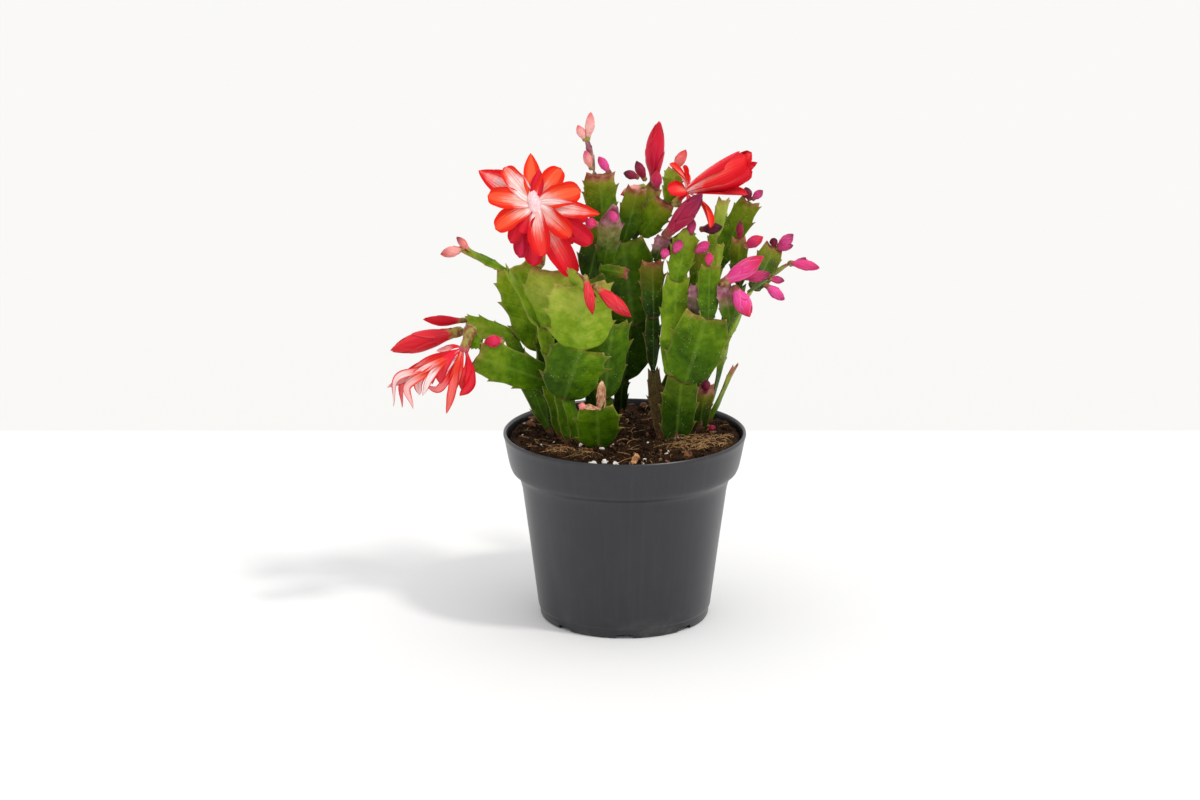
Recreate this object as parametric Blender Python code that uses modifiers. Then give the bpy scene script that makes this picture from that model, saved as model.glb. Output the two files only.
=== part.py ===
"""A Christmas cactus in a round grower's pot, built as an assembly of separate solids.

Run it with blender --background --python part.py, or from Blender's text editor.
Units are metres and +Z is up. The origin is the centre of the pot's underside, and -Y is the front.
Places and sizes of the plant are written in millimetres and turned into metres by mm().
"""

import math
from typing import NamedTuple

import bmesh
import bpy
from mathutils import Matrix, Vector

MM = 0.001
TOUCH_GAP = 0.3 * MM  # left between solids that meet

# The pot: its outside from the rim down to the heel, as (radius, height) in millimetres.
POT_HEIGHT = 102.0
RIM_RADIUS = 65.0
WALL = 1.6
FLOOR = 1.8
POT_OUTSIDE = (
    (RIM_RADIUS - 0.4, POT_HEIGHT - 3.0),
    (61.8, 86.0),
    (60.4, 81.0),
    (56.2, 76.0),
    (54.9, 73.5),
    (46.5, 5.4),
    (45.9, 5.0),
    (45.5, 1.2),
)
HEEL_RADIUS = 44.4
RIM_ARC_POINTS = 4
TURNED_STEPS = 36
SLOT_COUNT = 8
SLOT_WIDTH = 10.4
SLOT_HEIGHT = 3.2

# The compost: its top as (radius, height) in millimetres, a low mound that stays below the rim.
COMPOST_EDGE_HEIGHT = 95.0
COMPOST_MOUND = ((52.0, 96.6), (34.0, 97.4), (0.0, 97.8))
COMPOST_TOP = 97.5  # where the stems leave it
ROOT_DEPTH = 6.0
ROOT_RADIUS = 2.0
COLLAR_RADIUS = 2.5
SOCKET_RADIUS = 3.5

# Stem segments. The outline runs from neck to tip as (share of length, share of half width):
# two pairs of teeth on the sides, and two horns at the corners of a hollowed tip.
SEGMENT_OUTLINE = (
    (0.11, 0.34),
    (0.26, 0.72),
    (0.40, 0.93),
    (0.45, 0.80),
    (0.68, 1.00),
    (0.73, 0.87),
    (0.98, 0.86),
    (0.95, 0.42),
)
SEGMENT_END = 0.945
TOOTH_STAGGER = 0.035  # teeth on one side sit this share of the length above those on the other
NECK_RADIUS = 1.3
NECK_LENGTH = 1.3
RIB_HALF_THICKNESS = 1.8
JOINT_GAP = 0.8

# Round buds, as (share of length, share of radius): ovary, waist, then the folded petals.
BUD_OUTLINE = ((0.03, 0.42), (0.14, 0.56), (0.25, 0.50), (0.45, 0.92), (0.62, 1.00), (0.84, 0.60))
OVARY_OUTLINE = ((0.04, 0.55), (0.16, 1.00), (0.32, 0.90), (0.50, 0.62), (0.96, 0.72))
RECEPTACLE_OUTLINE = ((0.10, 0.85), (0.90, 1.00))
PETAL_OUTLINE = ((0.05, 0.28), (0.36, 0.76), (0.66, 1.00), (0.88, 0.76))
PETAL_HALF_THICKNESS = 0.45
PETAL_FOOT = 0.6  # how far inside the receptacle's front a petal starts
PETAL_LEAN = 14.0  # each petal turns this much about its own line, so that neighbours lap
RECEPTACLE_LENGTH = 3.0

ROUND_POINTS = 8
FLAT_POINTS = 6  # round the section of a stem segment or a petal


class Segment(NamedTuple):
    """One flat segment: where it ends, its full width, and how far its face turns from the front."""

    tip: tuple
    width: float
    facing: float


class Stem(NamedTuple):
    """A run of segments. It is rooted at (x, y) in the compost, or grows on another stem's tip.

    fork says where on that tip: -1 and 1 are its two horns and 0 its middle.
    """

    name: str
    grows_on: object
    fork: float
    segments: tuple


class Bud(NamedTuple):
    name: str
    grows_on: str
    fork: float
    tip: tuple
    radius: float


class Petal(NamedTuple):
    """In degrees, turn is round the axis as seen facing the flower, from its right, and spread away from it."""

    turn: float
    spread: float
    length: float
    width: float


class Flower(NamedTuple):
    name: str
    grows_on: str
    fork: float
    bend: tuple
    throat: tuple
    axis: tuple
    tube_radius: float
    whorls: tuple


STEMS = (
    # The front left cutting, with the broadest segments
    Stem("stem_front_1", (-23, -16), 0, (Segment((-31, -19, 129), 8, 60), Segment((-24, -21, 153), 27, 10))),
    Stem("stem_front_2", "stem_front_1", 0, (Segment((-23, -24, 187), 35, 4),)),
    Stem("stem_front_3", "stem_front_2", 0.1, (Segment((-19, -32, 191), 15, 0),)),
    Stem("stem_low_1", (-14, -22), 0, (Segment((-15, -33, 124), 22, 4),)),
    Stem("stem_inner_1", (-7, -4), 0, (Segment((-11, -7, 125), 8, 60), Segment((-7, -8, 163), 22, 20))),
    # The back cutting, which carries the middle of the crown
    Stem("stem_back_1", (-2, 42), 0, (Segment((-1, 28, 124), 9, 20), Segment((3, 16, 163), 26, 10))),
    Stem("stem_back_2", "stem_back_1", 0, (Segment((-2, 10, 204), 27, 5),)),
    Stem("stem_back_3", "stem_back_2", 0.1, (Segment((6, 3, 233), 14, 8),)),
    Stem("stem_back_4", "stem_back_2", 0.95, (Segment((21, -4.5, 228), 14, -12),)),
    Stem("stem_back_5", "stem_back_2", 0.45, (Segment((16, 25, 229), 12, 20),)),
    Stem("stem_back_6", "stem_back_4", 0.3, (Segment((26, 7, 242), 11, 20),)),
    # The cutting that arches out to the left
    Stem("stem_left_1", (-34, -3), 0, (Segment((-42, -6, 132), 9, 40), Segment((-78, -20, 149), 20, -8))),
    Stem("stem_left_2", (-40, 8), 0, (Segment((-61, 16, 150), 10, 30), Segment((-85, 14, 157), 12, 35))),
    Stem("stem_left_3", "stem_left_1", 0.7, (Segment((-83, -17, 158), 8, 20),)),
    # The tall one beside it, which forks to the open flower
    Stem("stem_tall_1", (-30, -12), 0, (Segment((-36, -10, 128), 8, 70), Segment((-44, -10, 162), 8, 65))),
    Stem("stem_tall_2", "stem_tall_1", -0.5, (Segment((-62, -21, 195), 8, 65), Segment((-84, -26, 207), 7, 55))),
    Stem("stem_tall_3", "stem_tall_1", 0.6, (Segment((-40, -4, 191), 25, 5),)),
    Stem("stem_side_1", (-38, 14), 0, (Segment((-45, 19, 144), 9, 50), Segment((-59, 22, 187), 28, 20))),
    # The hidden one in the middle, which comes out at the top left of the crown
    Stem("stem_centre_1", (-15, 18), 0, (Segment((-18, 6, 144), 12, 20), Segment((-19, 0, 187), 17, 10))),
    Stem("stem_centre_2", "stem_centre_1", 0, (Segment((-12, 3, 215), 17, 10), Segment((-14, 4, 241), 18, 6))),
    Stem("stem_centre_3", "stem_centre_1", 0.9, (Segment((-6, -15, 226), 12, 0),)),
    Stem("stem_peak", "stem_centre_2", -0.3, (Segment((-20, 2, 259), 3, 0),)),
    # The right hand cuttings
    Stem("stem_woody_1", (19, -8), 0, (Segment((15, -1, 135), 8, 30), Segment((14.5, -3, 168), 9, 60),
                                       Segment((13.5, -2, 195), 13, 15))),
    Stem("stem_woody_2", "stem_woody_1", 0.5, (Segment((20, -9, 210), 9, 10),)),
    Stem("stem_right_1", (27, -9), 0, (Segment((29, -14, 136), 22, 6),)),
    Stem("stem_right_2", "stem_right_1", 0.3, (Segment((42, -20, 170), 26, 4),)),
    Stem("stem_right_3", "stem_right_1", -0.7, (Segment((27, -7, 188), 16, 10), Segment((33, -6, 213), 15, 12))),
    Stem("stem_right_4", "stem_right_2", 0.1, (Segment((44, -17, 196), 12, 4),)),
    Stem("stem_right_5", "stem_right_2", 0.9, (Segment((51.5, -19, 186), 8, 20),)),
    Stem("stem_short_1", (40, 14), 0, (Segment((44, 10, 124), 11, 10),)),
    Stem("stem_short_2", (44, 22), 0, (Segment((59, 18, 132), 9, 55),)),
    Stem("stem_outer_1", (42, 32), 0, (Segment((54, 20, 142), 9, 60), Segment((67, 12, 175), 8, 55))),
    Stem("stem_outer_2", "stem_outer_1", 0.8, (Segment((80, 32, 195), 14, 0),)),
    Stem("stem_outer_3", "stem_outer_1", -0.8, (Segment((86, -8, 195), 9, 60),)),
    Stem("stem_outer_4", (30, 40), 0, (Segment((52, 36, 142), 9, 40), Segment((62, 28, 174), 10, 30),
                                       Segment((61, 26, 201), 10, 0))),
    Stem("stem_rear_1", (30, 26), 0, (Segment((39, 28, 139), 8, 30), Segment((50, 32, 185), 9, 40),
                                      Segment((67, 36, 219), 14, -10))),
    Stem("stem_rear_2", (14, 40), 0, (Segment((34, 44, 140), 8, 20), Segment((48, 50, 184), 9, 20),
                                      Segment((54, 54, 216), 11, 40))),
    Stem("stem_rear_3", "stem_woody_1", 0.9, (Segment((36, 8, 209), 8, 20),)),
)

BUDS = (
    Bud("bud_tall_red", "stem_back_5", 0, (18, 20, 266), 5.0),
    Bud("bud_magenta", "stem_woody_2", 0.2, (40, -22, 236), 4.0),
    Bud("bud_orange", "stem_back_6", 0, (32, 8, 253), 2.6),
    Bud("bud_right_long", "stem_right_5", -0.3, (72, -24, 203), 4.6),
    Bud("bud_right_round", "stem_right_5", 1.0, (65, -27, 171), 4.5),
    Bud("bud_left_long", "stem_left_2", -0.9, (-125, 4, 145), 5.4),
    Bud("bud_left_short", "stem_left_2", 0.4, (-108, 16, 159), 2.5),
    Bud("bud_far_left", "stem_tall_2", 0, (-96, -29, 205), 2.8),
    Bud("bud_peak_long", "stem_peak", 0.3, (-18, 3, 274), 2.5),
    Bud("bud_peak_short", "stem_peak", -0.9, (-25, 3, 267), 2.2),
    Bud("bud_hanging_short", "stem_front_3", -0.4, (-17, -42.5, 176), 2.7),
    Bud("bud_hanging_long", "stem_front_3", 0.4, (3, -43, 175), 3.7),
    Bud("bud_far_right", "stem_outer_3", 0, (102, -13, 194), 2.5),
)

OPEN_FLOWER = Flower(
    "flower_open", "stem_tall_3", -0.4, (-46, 2, 216), (-47, -12, 228), (-0.12, -0.93, 0.35), 2.6,
    (
        ("outer_petals", (
            Petal(148, 90, 35, 10), Petal(-28, 95, 33, 9), Petal(-58, 98, 41, 11),
            Petal(-93, 104, 28, 9), Petal(-120, 106, 28, 10),
        )),
        ("inner_petals", (
            Petal(131, 78, 28, 12), Petal(97, 74, 29, 11), Petal(63, 76, 25, 12), Petal(27, 76, 25, 12),
            Petal(-4, 82, 34, 10), Petal(-36, 78, 26, 11), Petal(-78, 80, 28, 11), Petal(-155, 78, 26, 12),
            Petal(169, 78, 27, 11),
        )),
    ),
)
RIGHT_FLOWER = Flower(
    "flower_right", "stem_back_4", 0.9, (27, -6, 230), (32.5, -6, 234), (0.90, -0.12, 0.38), 2.3,
    (
        ("petals", (
            Petal(90, 20, 37, 13), Petal(140, 13, 41, 12), Petal(40, 12, 41, 12), Petal(195, 12, 38, 12),
            Petal(-90, 26, 33, 10), Petal(-30, 15, 37, 11), Petal(100, 118, 17, 7), Petal(165, 130, 13, 6),
            Petal(-115, 66, 25, 7),
        )),
    ),
)
LEFT_FLOWER = Flower(
    "flower_left", "stem_left_3", 0, (-88.5, -20, 155), (-93.5, -21.5, 149.5), (-0.72, -0.18, -0.67), 2.3,
    (
        ("petals", (
            Petal(80, 20, 38, 8), Petal(135, 14, 40, 7), Petal(30, 22, 37, 8), Petal(-20, 16, 35, 6),
            Petal(-65, 32, 33, 7), Petal(-115, 46, 32, 7), Petal(-165, 26, 35, 7), Petal(-85, 64, 27, 7),
        )),
    ),
)
FLOWERS = (OPEN_FLOWER, RIGHT_FLOWER, LEFT_FLOWER)

# name: (colour, roughness)
MATERIALS = {
    "pot_plastic": ((0.055, 0.057, 0.062), 0.45),
    "compost": ((0.075, 0.045, 0.028), 0.95),
    "stem_green": ((0.13, 0.26, 0.03), 0.42),
    "bud_pink": ((0.72, 0.10, 0.22), 0.45),
    "flower_tube": ((0.55, 0.35, 0.16), 0.45),
    "petal_red": ((0.86, 0.07, 0.03), 0.50),
}


def mm(point):
    return Vector(point) * MM


def clear_scene():
    for obj in list(bpy.data.objects):
        bpy.data.objects.remove(obj, do_unlink=True)


def new_collection(name):
    collection = bpy.data.collections.new(name)
    bpy.context.scene.collection.children.link(collection)
    return collection


def make_material(name, colour, roughness):
    material = bpy.data.materials.new(name)
    material.use_nodes = True
    shader = material.node_tree.nodes["Principled BSDF"]
    shader.inputs["Base Color"].default_value = (*colour, 1.0)
    shader.inputs["Roughness"].default_value = roughness
    return material


def add_object(name, bm, collection, material=None):
    """Puts a bmesh in the scene as a smooth shaded object."""
    mesh = bpy.data.meshes.new(name)
    bm.to_mesh(mesh)
    bm.free()
    mesh.shade_smooth()
    if material:
        mesh.materials.append(material)
    obj = bpy.data.objects.new(name, mesh)
    collection.objects.link(obj)
    return obj


def make_cutter(obj):
    obj.hide_render = True
    obj.display_type = "WIRE"
    return obj


def cut(obj, cutters):
    boolean = obj.modifiers.new("cut", "BOOLEAN")
    boolean.operation = "DIFFERENCE"
    boolean.operand_type = "COLLECTION"
    boolean.collection = cutters


# The pot and the compost


def turned(name, profile, collection, material):
    """A solid of revolution. The profile runs from the axis, over the top and down the outside."""
    bm = bmesh.new()
    points = [bm.verts.new((radius * MM, 0.0, height * MM)) for radius, height in profile]
    for first, second in zip(points, points[1:]):
        bm.edges.new((first, second))
    mesh = bpy.data.meshes.new(name)
    bm.to_mesh(mesh)
    bm.free()
    mesh.materials.append(material)
    obj = bpy.data.objects.new(name, mesh)
    collection.objects.link(obj)
    screw = obj.modifiers.new("turn", "SCREW")
    screw.steps = screw.render_steps = TURNED_STEPS
    screw.use_merge_vertices = True
    screw.merge_threshold = 0.00005
    return obj


def inside_of_pot(gap):
    """The inside of the wall from the floor up, moved inwards by gap, as (radius, height)."""
    wall = [(radius - WALL - gap, height) for radius, height in reversed(POT_OUTSIDE[:-1])]
    floor_height = FLOOR + gap
    floor_radius = POT_OUTSIDE[-1][0] - WALL - gap
    return [(0.0, floor_height), (floor_radius, floor_height)] + wall


def rim_arc():
    """The rounded top edge, from the inside over to the outside."""
    radius = WALL / 2
    centre = (RIM_RADIUS - radius, POT_HEIGHT - radius)
    angles = [math.pi * (1 - k / (RIM_ARC_POINTS - 1)) for k in range(RIM_ARC_POINTS)]
    return [(centre[0] + radius * math.cos(a), centre[1] + radius * math.sin(a)) for a in angles]


def make_pot(collection, cutters, material):
    profile = inside_of_pot(0) + rim_arc() + list(POT_OUTSIDE) + [(HEEL_RADIUS, 0.0), (0.0, 0.0)]
    pot = turned("pot", profile, collection, material)
    slots = bpy.data.collections.new("slot_cutters")
    cutters.children.link(slots)
    for k in range(SLOT_COUNT):
        angle = math.tau * (k / SLOT_COUNT - 0.25)
        bm = bmesh.new()
        size = mm((10.0, SLOT_WIDTH, 2 * SLOT_HEIGHT))
        turn = Matrix.Rotation(angle, 4, "Z")
        bmesh.ops.create_cube(bm, size=1.0, matrix=turn @ Matrix.Translation(mm((46.5, 0, 0)))
                              @ Matrix.Diagonal((*size, 1.0)))
        make_cutter(add_object(f"slot_cutter_{k + 1}", bm, slots))
    cut(pot, slots)


def compost_height(radius):
    """The height of the compost's top at a distance from the axis."""
    points = list(reversed(COMPOST_MOUND)) + [(RIM_RADIUS - WALL, COMPOST_EDGE_HEIGHT)]
    for (r0, z0), (r1, z1) in zip(points, points[1:]):
        if radius <= r1:
            return z0 + (z1 - z0) * (radius - r0) / (r1 - r0)
    return COMPOST_EDGE_HEIGHT


def make_compost(collection, cutters, material, rooted):
    gap = TOUCH_GAP / MM
    wall = [point for point in inside_of_pot(gap) if point[1] < COMPOST_EDGE_HEIGHT]
    top_outside, above = [p for p in inside_of_pot(gap) if p[1] > POT_OUTSIDE[3][1]][-2:]
    share = (COMPOST_EDGE_HEIGHT - top_outside[1]) / (above[1] - top_outside[1])
    edge = (top_outside[0] + (above[0] - top_outside[0]) * share, COMPOST_EDGE_HEIGHT)
    profile = list(reversed(COMPOST_MOUND)) + [edge] + list(reversed(wall))
    compost = turned("potting_compost", profile, collection, material)
    sockets = bpy.data.collections.new("socket_cutters")
    cutters.children.link(sockets)
    for name, foot, direction in rooted:
        bm = bmesh.new()
        length = (ROOT_DEPTH + 6.0) * MM
        centre = foot + direction * (length / 2 - (ROOT_DEPTH + 1.2) * MM)
        turn = direction.to_track_quat("Z", "Y").to_matrix().to_4x4()
        bmesh.ops.create_cone(bm, cap_ends=True, segments=ROUND_POINTS, radius1=SOCKET_RADIUS * MM,
                              radius2=SOCKET_RADIUS * MM, depth=length,
                              matrix=Matrix.Translation(centre) @ turn)
        make_cutter(add_object(name.replace("stem", "socket"), bm, sockets))
    cut(compost, sockets)


# Lofted pieces: stems, buds, tubes and petals


class Ring(NamedTuple):
    """A cross-section: its centre, the directions across and through it, and half sizes in metres."""

    centre: Vector
    across: Vector
    through: Vector
    half_width: float
    half_thickness: float
    flat: bool = False


def loft(first, rings, last, points=ROUND_POINTS):
    """A closed body through the rings, from the point first to the point last.

    It starts as a UV sphere, whose circles of latitude are then moved onto the rings.
    """
    bm = bmesh.new()
    count = len(rings) + 1
    bmesh.ops.create_uvsphere(bm, u_segments=points, v_segments=count, radius=1.0)
    for vertex in bm.verts:
        level = count - round(math.acos(max(-1.0, min(1.0, vertex.co.z))) / math.pi * count)
        if level == 0 or level == count:
            vertex.co = last if level else first
            continue
        ring = rings[level - 1]
        angle = math.atan2(vertex.co.y, vertex.co.x) - math.pi / 2
        vertex.co = (ring.centre + ring.across * (math.cos(angle) * ring.half_width)
                     + ring.through * (math.sin(angle) * ring.half_thickness))
    return bm


def facing_axes(direction, facing):
    """The directions across and through a flat piece that grows along direction.

    At facing 0 its face looks to the front, and a positive angle turns that face to the right.
    """
    back = Vector((0.0, 1.0, 0.0))
    through = (back - direction * back.dot(direction)).normalized()
    through = Matrix.Rotation(math.radians(facing), 3, direction) @ through
    return through.cross(direction).normalized(), through


class Place(NamedTuple):
    """The last segment of a stem, which other pieces grow on."""

    base: Vector
    length: float
    direction: Vector
    across: Vector
    half_width: float

    def tip(self, fork):
        """A point just off the tip: fork runs from -1 at one horn to 1 at the other."""
        inner = SEGMENT_OUTLINE[-1]
        horn = SEGMENT_OUTLINE[-2]
        reach = abs(fork) * horn[1]
        share = max(0.0, (reach - inner[1]) / (horn[1] - inner[1]))
        height = SEGMENT_END + (inner[0] - SEGMENT_END) * min(1.0, reach / inner[1]) + (horn[0] - inner[0]) * share
        along = self.direction * (self.length * height + JOINT_GAP * MM)
        return self.base + along + self.across * (math.copysign(reach, fork) * self.half_width)

    def start(self, fork, end, radius):
        """Where a piece of that radius starts on the way to its end: further off when it turns back."""
        foot = self.tip(fork)
        direction = (end - foot).normalized()
        return foot + direction * radius * max(0.3, 1.2 - direction.dot(self.direction))


def segment_rings(base, segment, rooted):
    """The rings of one segment from base to its tip, and its place for what grows on it."""
    tip = mm(segment.tip)
    length = (tip - base).length / SEGMENT_END
    direction = (tip - base).normalized()
    across, through = facing_axes(direction, segment.facing)
    half_width = segment.width * MM / 2
    if rooted:
        rings = [
            Ring(base - direction * (ROOT_DEPTH - 0.5) * MM, across, through, ROOT_RADIUS * MM, ROOT_RADIUS * MM),
            Ring(base + direction * MM, across, through, COLLAR_RADIUS * MM, COLLAR_RADIUS * MM),
        ]
    else:
        neck = NECK_RADIUS * MM
        rings = [Ring(base + direction * NECK_LENGTH * MM, across, through, neck, neck)]
    for share, width_share in SEGMENT_OUTLINE:
        half = max(half_width * width_share, NECK_RADIUS * MM)
        rings.append(Ring(base + direction * (length * share), across, through, half,
                          min(RIB_HALF_THICKNESS * MM, half), True))
    return rings, Place(base, length, direction, across, half_width)


def stagger(bm, rings):
    """Moves the teeth of one margin up the stem and those of the other down."""
    for vertex in bm.verts:
        for ring, above in zip(rings, rings[1:]):
            offset = vertex.co - ring.centre
            side = offset.dot(ring.across) / ring.half_width
            flat_here = ring.flat and above.flat and abs(abs(side) - 1.0) < 1e-3
            if flat_here and (offset - ring.across * offset.dot(ring.across)).length < 1e-6:
                run = above.centre - ring.centre
                vertex.co += run.normalized() * math.copysign(min(0.25 * run.length, 0.8 * MM), side)
                break


def make_stem(stem, places, collection, material):
    rooted = not isinstance(stem.grows_on, str)
    if rooted:
        x, y = stem.grows_on
        base = mm((x, y, compost_height(math.hypot(x, y))))
    else:
        base = places[stem.grows_on].start(stem.fork, mm(stem.segments[0].tip), NECK_RADIUS * MM)
    start = base
    rings = []
    for number, segment in enumerate(stem.segments):
        found, place = segment_rings(base, segment, rooted and number == 0)
        rings += found
        if number == 0:
            first_direction = place.direction
        base = place.base + place.direction * place.length * SEGMENT_END
    first = start - first_direction * ROOT_DEPTH * MM if rooted else start
    bm = loft(first, rings, base, FLAT_POINTS)
    stagger(bm, rings)
    add_object(stem.name, bm, collection, material)
    places[stem.name] = place
    return (stem.name, start, first_direction) if rooted else None


def round_rings(outline, path, radius):
    """Round rings along a path, which is a function from a share of the length to (point, direction)."""
    rings = []
    for share, radius_share in outline:
        point, direction = path(share)
        across, through = facing_axes(direction, 0)
        rings.append(Ring(point, across, through, radius * radius_share, radius * radius_share))
    return rings


def straight(start, end):
    direction = (end - start).normalized()
    return lambda share: (start.lerp(end, share), direction)


def bent(start, middle, end):
    """A quadratic curve that leaves start towards middle and arrives at end from middle."""

    def at(share):
        point = start.lerp(middle, share).lerp(middle.lerp(end, share), share)
        direction = (middle - start).lerp(end - middle, share).normalized()
        return point, direction

    return at


def make_bud(bud, places, collection, material):
    tip = mm(bud.tip)
    base = places[bud.grows_on].start(bud.fork, tip, bud.radius * BUD_OUTLINE[1][1] * MM)
    rings = round_rings(BUD_OUTLINE, straight(base, tip), bud.radius * MM)
    add_object(bud.name, loft(base, rings, tip), collection, material)


def petal_loft(foot, petal, axis, right, up):
    """One petal: it leaves the flower along its axis and bends out to its spread."""
    turn, spread = math.radians(petal.turn), math.radians(petal.spread)
    outwards = right * math.cos(turn) + up * math.sin(turn)
    length = petal.length * MM
    start = foot + outwards * 0.8 * MM
    middle = foot + axis * (length * 0.28) + outwards * (length * 0.12)
    tip = foot + axis * (length * math.cos(spread)) + outwards * (length * math.sin(spread))
    path = bent(start, middle, tip)
    tangent = axis.cross(outwards).normalized()
    rings = []
    for share, width_share in PETAL_OUTLINE:
        point, direction = path(share)
        across = Matrix.Rotation(math.radians(PETAL_LEAN), 3, direction) @ tangent
        across = (across - direction * across.dot(direction)).normalized()
        rings.append(Ring(point, across, direction.cross(across), petal.width * MM / 2 * width_share,
                          PETAL_HALF_THICKNESS * MM, True))
    return loft(start, rings, tip, FLAT_POINTS)


def make_flower(flower, places, collection, cutters, tube_material, petal_material):
    """The tube, then each whorl: a small receptacle with its petals joined to it."""
    axis = Vector(flower.axis).normalized()
    up = (Vector((0.0, 0.0, 1.0)) - axis * axis.z).normalized()
    right = up.cross(axis)
    gap = TOUCH_GAP
    stack = (RECEPTACLE_LENGTH * MM + gap) * len(flower.whorls)
    throat = mm(flower.throat)
    tube_end = throat - axis * stack
    bend = mm(flower.bend)
    base = places[flower.grows_on].start(flower.fork, bend, flower.tube_radius * MM)
    path = bent(base, bend, tube_end)
    rings = round_rings(OVARY_OUTLINE, path, flower.tube_radius * MM)
    add_object(f"{flower.name}_tube", loft(base, rings, tube_end), collection, tube_material)
    foot = tube_end + axis * gap
    for whorl, petals in flower.whorls:
        head = foot + axis * RECEPTACLE_LENGTH * MM
        rings = round_rings(RECEPTACLE_OUTLINE, straight(foot, head), flower.tube_radius * MM)
        receptacle = add_object(f"{flower.name}_{whorl}", loft(foot, rings, head), collection, petal_material)
        blanks = bpy.data.collections.new(f"{flower.name}_{whorl}_blanks")
        cutters.children.link(blanks)
        for number, petal in enumerate(petals):
            start = head - axis * (PETAL_FOOT + 0.9) * MM
            bm = petal_loft(start, petal, axis, right, up)
            make_cutter(add_object(f"{flower.name}_{whorl}_{number + 1}", bm, blanks))
        join = receptacle.modifiers.new("petals", "BOOLEAN")
        join.operation = "UNION"
        join.operand_type = "COLLECTION"
        join.collection = blanks
        foot = head + axis * gap


def main():
    clear_scene()
    plant = new_collection("potted_christmas_cactus")
    cutters = new_collection("cutters")
    materials = {name: make_material(name, *look) for name, look in MATERIALS.items()}
    make_pot(plant, cutters, materials["pot_plastic"])
    places = {}
    rooted = [make_stem(stem, places, plant, materials["stem_green"]) for stem in STEMS]
    make_compost(plant, cutters, materials["compost"], [foot for foot in rooted if foot])
    for bud in BUDS:
        make_bud(bud, places, plant, materials["bud_pink"])
    for flower in FLOWERS:
        make_flower(flower, places, plant, cutters, materials["flower_tube"], materials["petal_red"])


main()
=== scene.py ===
"""A potted Christmas cactus in flower: its looks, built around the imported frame.

Units are metres, +Z is up and -Y is the front. Places and sizes of the plant are written in
millimetres, as in the part, and turned into metres by mm().
"""

import math
import random
from typing import NamedTuple

import bpy
from mathutils import Matrix, Vector, noise


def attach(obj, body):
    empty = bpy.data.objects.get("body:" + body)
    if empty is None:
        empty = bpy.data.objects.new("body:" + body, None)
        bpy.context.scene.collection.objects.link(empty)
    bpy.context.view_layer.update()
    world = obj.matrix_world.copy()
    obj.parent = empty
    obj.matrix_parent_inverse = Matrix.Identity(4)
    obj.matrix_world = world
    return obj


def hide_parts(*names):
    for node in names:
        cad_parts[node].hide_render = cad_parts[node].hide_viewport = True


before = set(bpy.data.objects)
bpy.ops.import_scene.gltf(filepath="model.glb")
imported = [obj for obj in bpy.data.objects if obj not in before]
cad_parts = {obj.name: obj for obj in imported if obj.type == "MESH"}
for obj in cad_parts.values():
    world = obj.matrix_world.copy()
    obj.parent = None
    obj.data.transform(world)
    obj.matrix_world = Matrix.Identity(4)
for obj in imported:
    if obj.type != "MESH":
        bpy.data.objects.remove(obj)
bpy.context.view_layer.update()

MM = 0.001
BODY = "root"


def mm(point):
    return Vector(point) * MM


def clamp(value, low=0.0, high=1.0):
    return max(low, min(high, value))


def ease(value, low, high):
    """0 below low, 1 above high, and a smooth rise between."""
    share = clamp((value - low) / (high - low))
    return share * share * (3 - 2 * share)


def through_points(points, x):
    """A smooth curve through (x, y) points, flat beyond the ends."""
    if x <= points[0][0]:
        return points[0][1]
    for i in range(len(points) - 1):
        (x0, y0), (x1, y1) = points[i], points[i + 1]
        if x <= x1:
            before = points[max(0, i - 1)]
            after = points[min(len(points) - 1, i + 2)]
            run = x1 - x0
            s = (x - x0) / run
            m0 = (y1 - before[1]) / max(1e-6, x1 - before[0]) * run
            m1 = (after[1] - y0) / max(1e-6, after[0] - x0) * run
            return ((2 * s**3 - 3 * s**2 + 1) * y0 + (s**3 - 2 * s**2 + s) * m0
                    + (3 * s**2 - 2 * s**3) * y1 + (s**3 - s**2) * m1)
    return points[-1][1]


# ---------------------------------------------------------------------------------------------
# The plant's numbers, as in the part


class Segment(NamedTuple):
    """One flat segment: where it ends, its full width, how far its face turns, its green, its blush,
    its outline, and how far it laps over the one below.
    """

    tip: tuple
    width: float
    facing: float
    tone: float = 0.5
    blush: float = 0.3
    kind: str = ""
    lap: float = 2.0


class Stem(NamedTuple):
    """Segments in a chain, rooted at (x, y) or growing on another stem's tip at a fork from -1 to 1."""

    name: str
    grows_on: object
    fork: float
    segments: tuple


class Bud(NamedTuple):
    name: str
    grows_on: str
    fork: float
    tip: tuple
    radius: float
    hue: float
    end: float


class Petal(NamedTuple):
    """In degrees, turn is round the axis as seen facing the flower, and spread away from it."""

    turn: float
    spread: float
    length: float
    width: float
    pale: float = 0.4
    hue: float = 0.3
    curl: float = 0.0
    kind: str = ""


COMPOST_MOUND = ((0.0, 97.8), (34.0, 97.4), (52.0, 96.6), (63.4, 95.0))

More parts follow.
